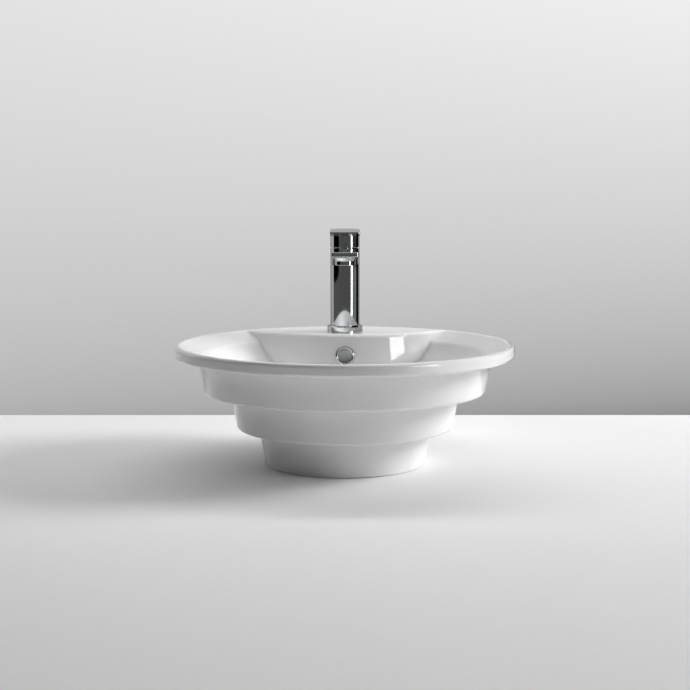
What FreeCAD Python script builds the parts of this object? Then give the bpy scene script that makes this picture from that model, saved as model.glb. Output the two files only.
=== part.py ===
import FreeCAD, Part
import math
import os
import re
import Sketcher

# A round stepped countertop basin with a tap ledge, its mixer tap, overflow and waste.
# Frame: millimetres, Z up, the basin stands on Z = 0, its axis is the Z axis, the tap is at the back (+Y).

doc = FreeCAD.newDocument("countertop_basin")

# Driving sizes: name, number or formula, meaning
SIZES = (
    ("rim_radius", "230", "rim, outside radius"),
    ("upper_height", "48", "upper tier, height"),
    ("upper_step", "35", "overhang of the upper tier"),
    ("mid_step", "29.3", "overhang of the middle tier"),
    ("lip_overhang", "29.86", "overhang of the rim"),
    ("lip_height", "16.5", "height of the rim's outer face"),
    ("foot_height", "50", "foot tier, height"),
    ("mid_height", "50", "middle tier, height"),
    ("wall_lean", "0.18", "outward lean of every tier, radius gained per height"),
    ("foot_wall", "9.2", "wall of the hollow foot"),
    ("rim_round", "5", "rounding of the rim's top outer edge"),
    ("lip_round", "4", "rounding of the rim's lower edge"),
    ("tier_round", "5", "rounding of each tier's bottom edge"),
    ("tier_hollow", "4", "rounding in each corner under a tier"),
    ("foot_round", "2.5", "rounding of the foot's edges"),
    ("rim_flat", "8", "flat top of the rim"),
    ("dish_width", "29", "width of the dished rim"),
    ("knee_width", "7", "width of the steep wall"),
    ("bowl_width", "86", "width of the bowl's sloping wall"),
    ("bowl_depth", "108.5", "rim to the bowl's floor"),
    ("floor_wall", "10", "thickness of the floor"),
    ("dish_drop", "15", "fall of the dish"),
    ("knee_drop", "11.5", "fall of the steep wall"),
    ("floor_rise", "4", "rise of the floor out to the heel"),
    ("mouth_round", "10", "rounding of the break"),
    ("knee_round", "50", "blend of the steep wall into the bowl"),
    ("heel_round", "110", "blend of the bowl into its floor"),
    ("tap_inset", "77", "rim to the axis of the tap"),
    ("ledge_depth", "45", "tap axis to the ledge's front face"),
    ("hollow_margin", "40", "how far the bowl's hollow runs past the rim"),
    ("overlap", "2", "how far joined pieces and cuts run into each other"),
    ("ledge_arc", "214", "radius of the tap ledge's front face"),
    ("ledge_splay", "26", "how far the ledge's face comes forward from the rim down to the counter"),
    ("ledge_blend", "5", "blend of the ledge's face into the bowl"),
    ("ledge_edge", "6", "rounding of the ledge's and dish's top edge"),
    ("ledge_thickness", "12", "ceramic under the tap"),
    ("recess_half", "52", "half width of the service recess"),
    ("recess_depth", "21", "tap axis to the front of the service recess"),
    ("recess_height", "42.5", "height of the service recess"),
    ("recess_bevel", "7", "bevelled corners of the recess"),
    ("boss_radius", "36", "waste boss, radius"),
    ("boss_depth", "18", "waste boss, depth under the floor"),
    ("outlet_radius", "22.5", "outlet hole"),
    ("outlet_seat_radius", "34", "sunk seat of the waste flange"),
    ("outlet_seat_depth", "4", "depth of that seat"),
    ("overflow_drop", "31", "rim to the centre of the overflow"),
    ("overflow_radius", "11", "overflow hole"),
    ("overflow_ring_radius", "14", "overflow ring, outside"),
    ("overflow_ring_depth", "3.2", "overflow ring, how far it stands out"),
    ("overflow_ring_round", "2", "rounding of the overflow ring"),
    ("overflow_bore", "9.75", "clear opening of the overflow ring"),
    ("overflow_sleeve", "9", "length of the ring's sleeve"),
    ("spot_depth", "1", "flat seat of the overflow ring in the curved face"),
    ("spot_margin", "0.4", "room round the overflow ring"),
    ("face_wall", "6", "ceramic in front of the overflow shaft"),
    ("shaft_depth", "12", "overflow shaft, depth"),
    ("shaft_rise", "9", "foot of the overflow shaft over the heel"),
    ("shaft_half", "9", "overflow shaft, half width"),
    ("duct_half", "7", "overflow duct, half width"),
    ("duct_rise", "5", "boss underside to the overflow duct"),
    ("duct_height", "10", "overflow duct, height"),
    ("duct_margin", "23.2", "foot tier to the turn of the duct"),
    ("rib_half", "13", "rib round the duct, half width"),
    ("fit_gap", "0.05", "clearance of parts that fit into each other"),
    ("pin_gap", "0.04", "running clearance of the pivot pin"),
    ("free_gap", "0.3", "clearance of parts that pass each other"),
    ("tail_radius", "20.9", "waste tail, outside"),
    ("tail_bore", "18", "waste tail, inside"),
    ("tail_free", "11.5", "free end of the tail below its nut"),
    ("relief_height", "1", "groove between the tail's free end and its nut"),
    ("relief_depth", "0.6", "depth of that groove"),
    ("flange_radius", "31.5", "waste flange"),
    ("flange_height", "2.5", "waste flange, thickness"),
    ("flange_bevel", "0.8", "bevel of the flange"),
    ("throat_bevel", "4", "bevel of the throat"),
    ("flange_seal_height", "1.5", "seal under the flange"),
    ("seal_inset", "0.5", "flange seal inside the flange's edge"),
    ("under_seal_radius", "33", "seal under the boss"),
    ("under_seal_height", "3", "seal under the boss, thickness"),
    ("slip_ring_height", "1.5", "slip ring over the back nut"),
    ("slip_ring_inset", "1", "slip ring inside the seal's edge"),
    ("back_nut_flats", "54", "back nut, across flats"),
    ("back_nut_height", "10", "back nut, height"),
    ("spider_rise", "1", "cross bars above the boss's underside"),
    ("bar_root", "1", "cross bars inside the tail's wall"),
    ("spider_height", "5", "height of the cross bars"),
    ("spider_half", "2", "half width of a cross bar"),
    ("hub_radius", "8", "hub of the cross bars"),
    ("slot_half", "7", "overflow slot in the tail, half width"),
    ("slot_rise", "1", "overflow slot above the cross bars"),
    ("slot_height", "7", "overflow slot in the tail, height"),
    ("click_radius", "5", "click cartridge, radius"),
    ("click_collar", "6.5", "click cartridge, collar radius"),
    ("click_collar_height", "3", "click cartridge, collar height"),
    ("click_below", "20", "click cartridge below its collar"),
    ("click_above", "9", "click cartridge above its collar"),
    ("click_bore", "3.6", "click cartridge, inside radius"),
    ("click_floor", "2", "floor of the click cartridge"),
    ("bush_height", "4", "guide bush at its top"),
    ("spindle_radius", "2.5", "plug spindle"),
    ("spindle_head", "3", "head of the spindle, height"),
    ("spindle_seat", "1", "spindle inside the plug"),
    ("plug_radius", "30", "waste plug"),
    ("plug_edge", "2.5", "edge of the plug"),
    ("plug_crown", "3.5", "rise of the plug's crown"),
    ("plug_edge_round", "1.5", "rounding of the plug's edge"),
    ("crown_inset", "12", "plug's edge to the crown's break"),
    ("crown_rise", "2.6", "rise of the plug to that break"),
    ("plug_lift", "9.5", "lift of the open plug"),
    ("plug_hub_radius", "6", "hub under the plug"),
    ("plug_hub_depth", "5.5", "hub under the plug, depth"),
    ("plug_seal_radius", "27", "plug seal, outside"),
    ("plug_seal_bore", "21", "plug seal, inside"),
    ("plug_seal_height", "2", "plug seal, thickness"),
    ("skirt_wall", "2", "ring that centres the plug's seal, wall"),
    ("skirt_depth", "1.2", "ring that centres the plug's seal, depth"),
    ("tap_hole", "17.5", "tap hole in the ledge"),
    ("column_radius", "21.5", "tap column"),
    ("column_height", "123", "top of the column above the ledge"),
    ("column_edge", "0.8", "rounding of the column's top edge"),
    ("column_wall", "2.5", "wall round the cartridge nut"),
    ("collar_width", "4.5", "base ring, width"),
    ("collar_height", "9.5", "base ring, height"),
    ("collar_step", "2", "bevel of the base ring"),
    ("base_seal_inset", "1", "seal under the column, inside its edge"),
    ("base_seal_width", "2", "seal under the column, width"),
    ("base_seal_height", "1.8", "seal under the column, thickness"),
    ("spout_reach", "105", "tap axis to the nozzle"),
    ("nose_margin", "2", "nozzle boss to the spout's front face"),
    ("spout_inset", "2.5", "spout inside the column's sides"),
    ("spout_drop", "12", "column's top to the spout's root"),
    ("spout_rise", "11.2", "rise of the spout to its tip"),
    ("spout_tip_height", "7", "height of the spout's front face"),
    ("spout_root_height", "13.5", "height of the spout inside the column"),
    ("spout_corner", "3", "rounding of the spout's front corners"),
    ("spout_edge", "1.2", "rounding of the spout's edges"),
    ("nozzle_inset", "2.5", "nozzle boss inside the spout's sides"),
    ("nozzle_depth", "12.7", "spout's tip to the nozzle's underside"),
    ("nozzle_height", "6", "nozzle boss, height"),
    ("nozzle_bevel", "4.6", "height of the nozzle boss's bevel"),
    ("nozzle_step", "2", "width of that bevel"),
    ("nozzle_round", "3", "rounding at the top of that bevel"),
    ("channel_inset", "10", "water channel inside the spout's sides"),
    ("channel_height", "3.4", "water channel of the spout, height"),
    ("channel_roof", "2.8", "metal over the channel at the nozzle"),
    ("aerator_inset", "2.3", "aerator ring inside the nozzle boss"),
    ("aerator_step", "2.2", "aerator thread inside its ring"),
    ("aerator_wall", "1.5", "wall of the aerator ring"),
    ("aerator_round", "0.6", "rounding of the aerator ring"),
    ("aerator_thread_length", "6.3", "aerator thread, length"),
    ("aerator_height", "6", "aerator ring, height"),
    ("aerator_lip", "1", "lip that holds the insert"),
    ("insert_height", "9", "aerator insert, height"),
    ("insert_hole", "0.9", "hole of the insert's grille"),
    ("grille_pitch", "3.24", "spacing of the grille's rows"),
    ("aerator_washer_height", "2.2", "washer over the aerator"),
    ("aerator_washer_width", "4", "washer over the aerator, width"),
    ("inlet_inset", "13.5", "column's side to a hose inlet"),
    ("inlet_front", "5", "tap axis to the hose inlets, forward"),
    ("inlet_radius", "4.5", "hose inlet thread"),
    ("inlet_depth", "14", "hose inlet thread, depth"),
    ("waterway", "3", "waterway in the column"),
    ("stud_back", "9.5", "tap axis to the fixing stud"),
    ("stud_radius", "4", "fixing stud"),
    ("stud_depth", "14", "fixing stud inside the column"),
    ("stud_below", "26", "fixing stud below the ledge"),
    ("clamp_radius", "24", "clamp plate and rubber"),
    ("clamp_front", "8", "tap axis to the open ends of the clamp"),
    ("clamp_slot", "14", "half width of the clamp's slot"),
    ("clamp_slot_back", "2.5", "tap axis to the end of the clamp's slot"),
    ("rubber_height", "3", "clamp rubber"),
    ("plate_height", "2.5", "clamp plate"),
    ("fixing_nut_flats", "13", "fixing nut, across flats"),
    ("fixing_nut_height", "10", "fixing nut, height"),
    ("nut_sink", "8", "cartridge nut inside the column"),
    ("nut_step", "1.6", "seat of the cartridge nut"),
    ("cartridge_height", "27", "cartridge, height"),
    ("cartridge_wall", "2.8", "cartridge, wall"),
    ("cartridge_lip", "3.5", "lip that holds the rotor"),
    ("cartridge_base_height", "4", "cartridge base"),
    ("port_seal_gap", "1.2", "port to its seal"),
    ("port_seal_wire", "0.8", "seal round each port, wire radius"),
    ("window_half", "8", "outlet window of the cartridge, half width"),
    ("window_rise", "1", "outlet window above the fixed disc"),
    ("disc_height", "4", "ceramic discs"),
    ("disc_room", "3.6", "room for the moving disc"),
    ("disc_offset", "2.45", "moving disc off the axis when shut"),
    ("carrier_height", "3.5", "carrier on the moving disc"),
    ("carrier_rib", "2.8", "guide block of the carrier"),
    ("carrier_side", "5", "guide block inside the disc's sides"),
    ("carrier_inset", "1.5", "guide block inside the disc's ends"),
    ("well_wall", "1.5", "side walls of the carrier's well"),
    ("well_end", "2", "end walls of the carrier's well"),
    ("finger_slot", "2.25", "slot for the finger, half width"),
    ("finger_radius", "1.9", "finger of the stem"),
    ("finger_flat", "0.2", "flat at the finger's tip"),
    ("neck_step", "3.4", "shoulder of the rotor"),
    ("rotor_neck_rise", "3.8", "neck above the cartridge"),
    ("pivot_drop", "7.5", "column's top to the lever's pivot"),
    ("pivot_inset", "1", "pivot pin inside the rotor's neck"),
    ("pivot_radius", "1.5", "pivot pin"),
    ("stem_half", "4", "square stem, half width"),
    ("stem_clear", "2.7", "square stem above the carrier"),
    ("stem_rise", "13.5", "top of the stem above the column"),
    ("stem_play_front", "2.6", "room in front of the stem"),
    ("stem_play_back", "2.2", "room behind the stem"),
    ("nut_gap", "2", "room round the rotor's neck"),
    ("cover_gap", "1", "cover ring inside the nut"),
    ("cover_inset", "2.2", "top of the cover ring inside its edge"),
    ("nut_height", "4.5", "cartridge nut, height"),
    ("cover_height", "5", "cover ring, height"),
    ("cover_step", "2", "slope at the top of the cover ring"),
    ("lever_gap", "1", "gap between the column and the lever"),
    ("lever_cap_height", "16.9", "round part of the lever"),
    ("lever_wall", "3", "wall of the lever's cap"),
    ("lever_roof", "4", "roof over the lever's hollow"),
    ("lever_tilt", "0.404", "slope of the cap's back underside"),
    ("lever_tilt_front", "4", "tap axis to the start of that slope"),
    ("blade_reach", "63", "tap axis to the tip of the blade"),
    ("blade_rise", "25.1", "blade's tip above the column"),
    ("blade_tip_height", "2.6", "blade's tip, height"),
    ("blade_fall", "0.03", "fall of the blade's top towards the tip"),
    ("blank_height", "10", "lever's blank above the blade's tip"),
    ("lever_edge", "0.6", "rounding of the lever's edges"),
    ("blade_corner", "2.5", "rounding of the blade's front corners"),
    ("lever_boss", "7", "boss that holds the stem"),
    ("boss_rise", "1.5", "underside of the lever's boss above the column"),
    ("lug_front", "11", "tap axis to the front of the screw lug"),
    ("lug_half", "5", "screw lug, half width"),
    ("screw_rise", "5", "lever screw above the column"),
    ("screw_radius", "2.5", "lever screw"),
    ("screw_length", "6.5", "lever screw, length"),
    ("screw_socket", "2.5", "hexagon socket, across flats"),
    ("plug_depth", "3", "index plug, depth"),
    ("plug_sink", "0.2", "index plug below the cap's face"),
    # Levels and radii that follow from the sizes above
    ("upper_base", "=foot_height + mid_height", "underside of the upper tier"),
    ("lip_base", "=upper_base + upper_height", "underside of the rim"),
    ("rim_height", "=lip_base + lip_height", "counter to the top of the rim and the ledge"),
    ("upper_top_radius", "=rim_radius - lip_overhang", "upper tier, top"),
    ("upper_radius", "=upper_top_radius - wall_lean * upper_height", "upper tier, bottom edge"),
    ("mid_top_radius", "=upper_radius - upper_step", "middle tier, top"),
    ("mid_radius", "=mid_top_radius - wall_lean * mid_height", "middle tier, bottom edge"),
    ("foot_top_radius", "=mid_radius - mid_step", "foot tier, top"),
    ("foot_radius", "=foot_top_radius - wall_lean * foot_height", "foot tier, at the counter"),
    ("floor_height", "=rim_height - bowl_depth", "bowl floor beside the waste"),
    ("floor_under", "=floor_height - floor_wall", "underside of the floor"),
    ("foot_bore", "=foot_radius - foot_wall", "hollow of the foot at the counter"),
    ("foot_bore_top", "=foot_bore + wall_lean * floor_under", "hollow of the foot at its top"),
    ("dish_radius", "=rim_radius - rim_flat", "where the dished rim starts"),
    ("mouth_radius", "=dish_radius - dish_width", "where the dish breaks into the bowl"),
    ("knee_radius", "=mouth_radius - knee_width", "where the steep wall meets the bowl"),
    ("heel_radius", "=knee_radius - bowl_width", "where the bowl meets its floor"),
    ("mouth_height", "=rim_height - dish_drop", "level of the break"),
    ("knee_height", "=mouth_height - knee_drop", "level of the knee"),
    ("heel_height", "=floor_height + floor_rise", "level of the heel"),
    ("dish_slope", "=dish_drop / (dish_radius - mouth_radius)", "slope of the dish"),
    ("tap_back", "=rim_radius - tap_inset", "axis of the basin to the axis of the tap"),
    ("ledge_front", "=tap_back - ledge_depth", "axis to the ledge's front face"),
    ("ledge_centre", "=ledge_front + ledge_arc", "centre of the ledge's arc"),
    ("recess_front", "=tap_back - recess_depth", "axis to the front of the recess"),
    ("recess_top", "=rim_height - ledge_thickness", "ceiling of the recess"),
    ("recess_floor", "=recess_top - recess_height", "floor of the recess"),
    ("boss_base", "=floor_under - boss_depth", "underside of the waste boss"),
    ("ledge_lean", "=ledge_splay / rim_height", "lean of the ledge's face, run per drop"),
    ("overflow_height", "=rim_height - overflow_drop", "centre of the overflow"),
    ("overflow_front", "=ledge_front - overflow_drop * ledge_lean", "axis to the face at the overflow"),
    ("overflow_seat", "=overflow_front + spot_depth", "axis to the flat seat of the overflow ring"),
    ("shaft_front", "=overflow_front + face_wall", "overflow shaft, near wall"),
    ("shaft_back", "=shaft_front + shaft_depth", "overflow shaft, far wall"),
    ("shaft_base", "=heel_height + shaft_rise", "overflow shaft, foot"),
    ("duct_low", "=boss_base + duct_rise", "overflow duct, underside"),
    ("duct_high", "=duct_low + duct_height", "overflow duct, top"),
    ("duct_turn", "=foot_radius - duct_margin", "axis to the turn of the duct"),
    ("outlet_seat", "=floor_height - outlet_seat_depth", "seat of the waste"),
    ("flange_base", "=outlet_seat + flange_seal_height", "underside of the flange"),
    ("flange_top", "=flange_base + flange_height", "top of the flange"),
    ("under_seal_base", "=boss_base - under_seal_height", "seal under the boss"),
    ("slip_ring_base", "=under_seal_base - slip_ring_height", "slip ring"),
    ("back_nut_base", "=slip_ring_base - back_nut_height", "back nut"),
    ("tail_end", "=back_nut_base - tail_free", "lower end of the tail"),
    ("spider_base", "=boss_base + spider_rise", "underside of the cross bars"),
    ("spider_top", "=spider_base + spider_height", "top of the cross bars"),
    ("slot_base", "=spider_top + slot_rise", "overflow slots of the tail"),
    ("click_base", "=spider_top - click_below", "foot of the click cartridge"),
    ("click_shoulder", "=spider_top + click_collar_height", "top of its collar"),
    ("click_top", "=click_shoulder + click_above", "top of the click cartridge"),
    ("spindle_stop", "=click_top - bush_height - free_gap", "top of the spindle's head"),
    ("plug_seal_base", "=flange_top + plug_lift", "plug seal"),
    ("plug_base", "=plug_seal_base + plug_seal_height", "underside of the plug"),
    ("crown_base", "=plug_base + plug_edge", "foot of the plug's crown"),
    ("collar_radius", "=column_radius + collar_width", "base ring of the tap"),
    ("base_seal_radius", "=column_radius - base_seal_inset", "seal under the column, outside"),
    ("base_seal_bore", "=base_seal_radius - base_seal_width", "seal under the column, inside"),
    ("spout_half", "=column_radius - spout_inset", "half width of the spout"),
    ("spout_root_top", "=column_height - spout_drop", "top of the spout inside the column"),
    ("spout_root_base", "=spout_root_top - spout_root_height", "underside of the spout inside the column"),
    ("spout_tip_top", "=spout_root_top + spout_rise", "top of the spout's front face"),
    ("spout_tip_base", "=spout_tip_top - spout_tip_height", "underside of the spout's front face"),
    ("nozzle_radius", "=spout_half - nozzle_inset", "nozzle boss"),
    ("nozzle_base", "=spout_tip_top - nozzle_depth", "underside of the nozzle boss"),
    ("spout_nose", "=nozzle_radius + nose_margin", "nozzle to the spout's front face"),
    ("spout_tip", "=spout_reach + spout_nose", "front face of the spout"),
    ("spout_root", "=column_radius / 3", "where the spout starts inside the column"),
    ("spout_slope", "=spout_rise / (spout_tip - spout_root)", "slope of the spout's top"),
    ("channel_half", "=spout_half - channel_inset", "water channel, half width"),
    ("channel_top", "=spout_tip_top - spout_nose * spout_slope - channel_roof", "channel, top at the nozzle"),
    ("aerator_radius", "=nozzle_radius - aerator_inset", "aerator ring"),
    ("aerator_thread", "=aerator_radius - aerator_step", "aerator thread"),
    ("aerator_bore", "=aerator_thread - aerator_wall", "aerator, inside"),
    ("aerator_washer_bore", "=aerator_thread - aerator_washer_width", "washer over the aerator, inside"),
    ("aerator_base", "=nozzle_base - aerator_height", "underside of the aerator"),
    ("insert_base", "=aerator_base + aerator_lip", "underside of the aerator's insert"),
    ("aerator_depth", "=aerator_thread_length + aerator_washer_height", "bore of the nozzle"),
    ("inlet_side", "=column_radius - inlet_inset", "tap axis to each hose inlet, sideways"),
    ("nut_radius", "=column_radius - column_wall", "cartridge nut"),
    ("cartridge_radius", "=nut_radius - nut_step", "cartridge, outside"),
    ("cartridge_bore", "=cartridge_radius - cartridge_wall", "cartridge, inside"),
    ("cartridge_top", "=column_height - nut_sink", "top of the cartridge"),
    ("cartridge_seat", "=cartridge_top - cartridge_height", "seat of the cartridge"),
    ("port_seal_radius", "=waterway + port_seal_gap", "seal round each port"),
    ("moving_disc_radius", "=cartridge_bore - disc_room", "moving disc"),
    ("carrier_half", "=moving_disc_radius - carrier_side", "guide block, half width"),
    ("carrier_length", "=moving_disc_radius - carrier_inset", "guide block, half length"),
    ("rotor_neck", "=cartridge_bore - neck_step", "neck of the rotor"),
    ("nut_bore", "=rotor_neck + nut_gap", "cartridge nut, inside"),
    ("cover_bore", "=nut_bore + cover_gap", "cover ring, inside"),
    ("cover_top_radius", "=nut_radius - cover_inset", "cover ring, radius at its top"),
    ("disc_base", "=cartridge_seat + cartridge_base_height", "fixed disc"),
    ("moving_disc_base", "=disc_base + disc_height", "moving disc"),
    ("carrier_base", "=moving_disc_base + disc_height", "carrier"),
    ("carrier_top", "=carrier_base + carrier_height", "plate of the carrier"),
    ("rotor_base", "=carrier_top + free_gap", "underside of the rotor"),
    ("rotor_shoulder", "=cartridge_top - cartridge_lip - free_gap", "shoulder of the rotor"),
    ("rotor_top", "=cartridge_top + rotor_neck_rise", "top of the rotor"),
    ("finger_base", "=carrier_base + free_gap", "tip of the stem's finger"),
    ("pivot_height", "=column_height - pivot_drop", "lever pivot above the ledge"),
    ("pivot_half", "=rotor_neck - pivot_inset", "pivot pin, half length"),
    ("stem_base", "=carrier_top + carrier_rib + stem_clear", "underside of the square stem"),
    ("stem_top", "=column_height + stem_rise", "top of the stem"),
    ("stem_slot_front", "=stem_half + stem_play_front", "rotor slot, forward"),
    ("stem_slot_back", "=stem_half + stem_play_back", "rotor slot, backward"),
    ("nut_top", "=cartridge_top + nut_height", "top of the cartridge nut"),
    ("cover_top", "=nut_top + cover_height", "top of the cover ring"),
    ("lever_base", "=column_height + lever_gap", "underside of the lever's cap"),
    ("cap_top", "=lever_base + lever_cap_height", "top of the lever's cap"),
    ("cap_bore", "=column_radius - lever_wall", "hollow of the lever's cap"),
    ("hollow_top", "=cap_top - lever_roof", "ceiling of the lever's hollow"),
    ("blade_tip_top", "=column_height + blade_rise", "top of the blade's tip"),
    ("blade_tip_base", "=blade_tip_top - blade_tip_height", "underside of the blade's tip"),
    ("lever_stock", "=blade_tip_top + blank_height", "top of the lever before its top is cut"),
    ("lever_boss_base", "=column_height + boss_rise", "underside of the lever's boss"),
    ("screw_height", "=column_height + screw_rise", "lever screw above the ledge"),
)

sheet = doc.addObject("Spreadsheet::Sheet", "size")
for row, (alias, number, meaning) in enumerate(SIZES, start=1):
    sheet.set("A%d" % row, meaning)
    sheet.set("B%d" % row, number)
    sheet.setAlias("B%d" % row, alias)
doc.recompute()

ALIASES = {entry[0] for entry in SIZES}
FULL_TURN = 360
QUARTER_TURN = 90
NUT_FACE = "0.95"
TAP_AXIS = ("0", "tap_back", "rim_height")
LID = "rim_height + hollow_margin * dish_slope"


def link(text):
    """An expression with every size name pointed at the sheet."""
    return re.sub(r"[a-z_]+", lambda found: "size." + found[0] if found[0] in ALIASES else found[0], text)


def value(text):
    """The number an expression gives now."""
    return float(sheet.evalExpression(link(text)))


def bind(thing, prop, text):
    """Ties a property to an expression."""
    thing.setExpression(prop, link(text))


def place(thing, spot):
    """Ties the position of an object to three expressions."""
    for letter, text in zip("xyz", spot):
        if text != "0":
            bind(thing, ".Placement.Base." + letter, text)


def new_body(label, spot=("0", "0", "0")):
    """A body with its label and place."""
    body = doc.addObject("PartDesign::Body", label)
    body.Label = label
    place(body, spot)
    return body


def sketch_on(body, role, name, level="0"):
    """A sketch on one of the body's own planes, moved along the plane's normal."""
    sketch = body.newObject("Sketcher::SketchObject", body.Name + "_" + name + "_sketch")
    support = [item for item in body.Origin.OriginFeatures if item.Role == role][0]
    sketch.AttachmentSupport = (support, "")
    sketch.MapMode = "FlatFace"
    if level != "0":
        bind(sketch, ".AttachmentOffset.Base.z", level)
    return sketch


def pin_point(sketch, curve, point, across, up):
    """Holds one point of a curve at two expressions from the sketch's origin."""
    for kind, axis, text in (("DistanceX", -2, across), ("DistanceY", -1, up)):
        number = value(text)
        if abs(number) < 1e-9:
            sketch.addConstraint(Sketcher.Constraint("PointOnObject", curve, point, axis))
        elif number > 0:
            index = sketch.addConstraint(Sketcher.Constraint(kind, -1, 1, curve, point, number))
            sketch.setExpression("Constraints[%d]" % index, link(text))
        else:
            index = sketch.addConstraint(Sketcher.Constraint(kind, curve, point, -1, 1, -number))
            sketch.setExpression("Constraints[%d]" % index, link("-(" + text + ")"))


def outline(sketch, points):
    """A closed outline through points given as expressions; a third expression rounds that corner."""
    first = sketch.GeometryCount
    count = len(points)
    spots = [FreeCAD.Vector(value(point[0]), value(point[1]), 0) for point in points]
    arrive, leave, bends = list(spots), list(spots), {}
    for index, point in enumerate(points):
        if len(point) == 3:
            spot = spots[index]
            back = (spots[index - 1] - spot).normalize()
            ahead = (spots[(index + 1) % count] - spot).normalize()
            half = back.getAngle(ahead) / 2
            radius = value(point[2])
            arrive[index] = spot + back * (radius / math.tan(half))
            leave[index] = spot + ahead * (radius / math.tan(half))
            bends[index] = (spot + (back + ahead).normalize() * (radius / math.sin(half)), radius)
    for index in range(count):
        sketch.addGeometry(Part.LineSegment(leave[index], arrive[(index + 1) % count]), False)
    for index, point in enumerate(points):
        before, after = first + (index - 1) % count, first + index
        if index not in bends:
            sketch.addConstraint(Sketcher.Constraint("Coincident", before, 2, after, 1))
            pin_point(sketch, after, 1, point[0], point[1])
            continue
        centre, radius = bends[index]
        start, end = arrive[index] - centre, leave[index] - centre
        turns_left = start.cross(end).z > 0
        angles = [math.atan2(arm.y, arm.x) for arm in ((start, end) if turns_left else (end, start))]
        arc = Part.ArcOfCircle(Part.Circle(centre, FreeCAD.Vector(0, 0, 1), radius), angles[0], angles[1])
        bend = sketch.addGeometry(arc, False)
        corner = sketch.addGeometry(Part.Point(spots[index]), True)
        sketch.addConstraint(Sketcher.Constraint("Tangent", before, 2, bend, 1 if turns_left else 2))
        sketch.addConstraint(Sketcher.Constraint("Tangent", after, 1, bend, 2 if turns_left else 1))
        number = sketch.addConstraint(Sketcher.Constraint("Radius", bend, radius))
        sketch.setExpression("Constraints[%d]" % number, link(point[2]))
        sketch.addConstraint(Sketcher.Constraint("PointOnObject", corner, 1, before))
        sketch.addConstraint(Sketcher.Constraint("PointOnObject", corner, 1, after))
        pin_point(sketch, corner, 1, point[0], point[1])


def box_points(left, right, low, high):
    """The corners of a rectangle."""
    return ((left, low), (right, low), (right, high), (left, high))


def circle(sketch, radius, across="0", up="0"):
    """A full circle whose radius and centre are expressions."""
    centre = FreeCAD.Vector(value(across), value(up), 0)
    curve = sketch.addGeometry(Part.Circle(centre, FreeCAD.Vector(0, 0, 1), value(radius)), False)
    index = sketch.addConstraint(Sketcher.Constraint("Radius", curve, value(radius)))
    sketch.setExpression("Constraints[%d]" % index, link(radius))
    pin_point(sketch, curve, 3, across, up)


def finish(body, feature):
    """Makes a feature the body's last one and checks that it worked."""
    body.Tip = feature
    doc.recompute()
    if "Invalid" in feature.State or feature.Shape.isNull():
        raise RuntimeError("feature failed: " + feature.Name)
    return feature


def turned(body, points, name="turned", cut=False, forward="0"):
    """Turns an outline of radii and heights round the Z axis, or round one parallel to it further forward."""
    sketch = sketch_on(body, "XZ_Plane", name, forward)
    outline(sketch, points)
    kind = "PartDesign::Groove" if cut else "PartDesign::Revolution"
    feature = body.newObject(kind, body.Name + "_" + name)
    feature.Profile = sketch
    feature.ReferenceAxis = (sketch, ["V_Axis"])
    feature.Angle = FULL_TURN
    return finish(body, feature)


def pad(body, sketch, length, both=False):
    """Raises a sketch along its normal, or to both sides of its plane."""
    feature = body.newObject("PartDesign::Pad", sketch.Name.replace("_sketch", ""))
    feature.Profile = sketch
    feature.SideType = "Symmetric" if both else "One side"
    bind(feature, "Length", length)
    return finish(body, feature)


def pocket(body, sketch, length, both=False, forward=False, refine=True):
    """Cuts a sketch against its normal, along it, or to both sides, and checks that it removed something."""
    before = body.Shape.Volume
    feature = body.newObject("PartDesign::Pocket", sketch.Name.replace("_sketch", ""))
    feature.Profile = sketch
    feature.SideType = "Symmetric" if both else "One side"
    feature.Reversed = forward
    feature.Refine = refine
    bind(feature, "Length", length)
    finish(body, feature)
    if body.Shape.Volume > before - 1e-3:
        raise RuntimeError("pocket cuts nothing: " + feature.Name)
    return feature


def cut_out(body, tool, name):
    """Cuts the shape of another body out of this one."""
    feature = body.newObject("PartDesign::Boolean", body.Name + "_" + name)
    feature.setObjects([tool])
    feature.Type = "Cut"
    return finish(body, feature)


def facing_bowl(label):
    """A body on the overflow's seat, whose Z axis stands square on the ledge's face."""
    body = new_body(label, ("0", "overflow_seat", "overflow_height"))
    body.Placement.Rotation = FreeCAD.Rotation(FreeCAD.Vector(1, 0, 0), QUARTER_TURN)
    bind(body, ".Placement.Rotation.Angle", "%d deg - atan(ledge_lean)" % QUARTER_TURN)
    return body


def spread(edge, count=7):
    """Points along an edge."""
    low, high = edge.ParameterRange
    return [edge.valueAt(low + (high - low) * step / (count - 1)) for step in range(count)]


def rounded(body, name, radius, chosen):
    """Rounds every edge that a test on its points picks."""
    doc.recompute()
    last = body.Tip
    edges = ["Edge%d" % (number + 1) for number, edge in enumerate(last.Shape.Edges) if chosen(edge)]
    if not edges:
        raise RuntimeError("no edges to round: " + body.Name + " " + name)
    feature = body.newObject("PartDesign::Fillet", body.Name + "_" + name)
    feature.Base = (last, edges)
    bind(feature, "Radius", radius)
    return finish(body, feature)


def ring_at(radius, level):
    """A test for a full circle about the Z axis at a radius and level."""
    wide, high = value(radius), value(level)

    def chosen(edge):
        return all(abs(math.hypot(spot.x, spot.y) - wide) < 1e-3 and abs(spot.z - high) < 1e-3
                   for spot in spread(edge))
    return chosen


def span(edge, letter):
    """Lowest and highest coordinate of an edge in one direction."""
    numbers = [getattr(spot, letter) for spot in spread(edge)]
    return min(numbers), max(numbers)


def washer(label, bore, radius, low, height, spot=("0", "0", "0")):
    """A flat ring."""
    body = new_body(label, spot)
    top = "%s + %s" % (low, height)
    turned(body, ((bore, low), (radius, low), (radius, top), (bore, top)))
    return body


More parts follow.
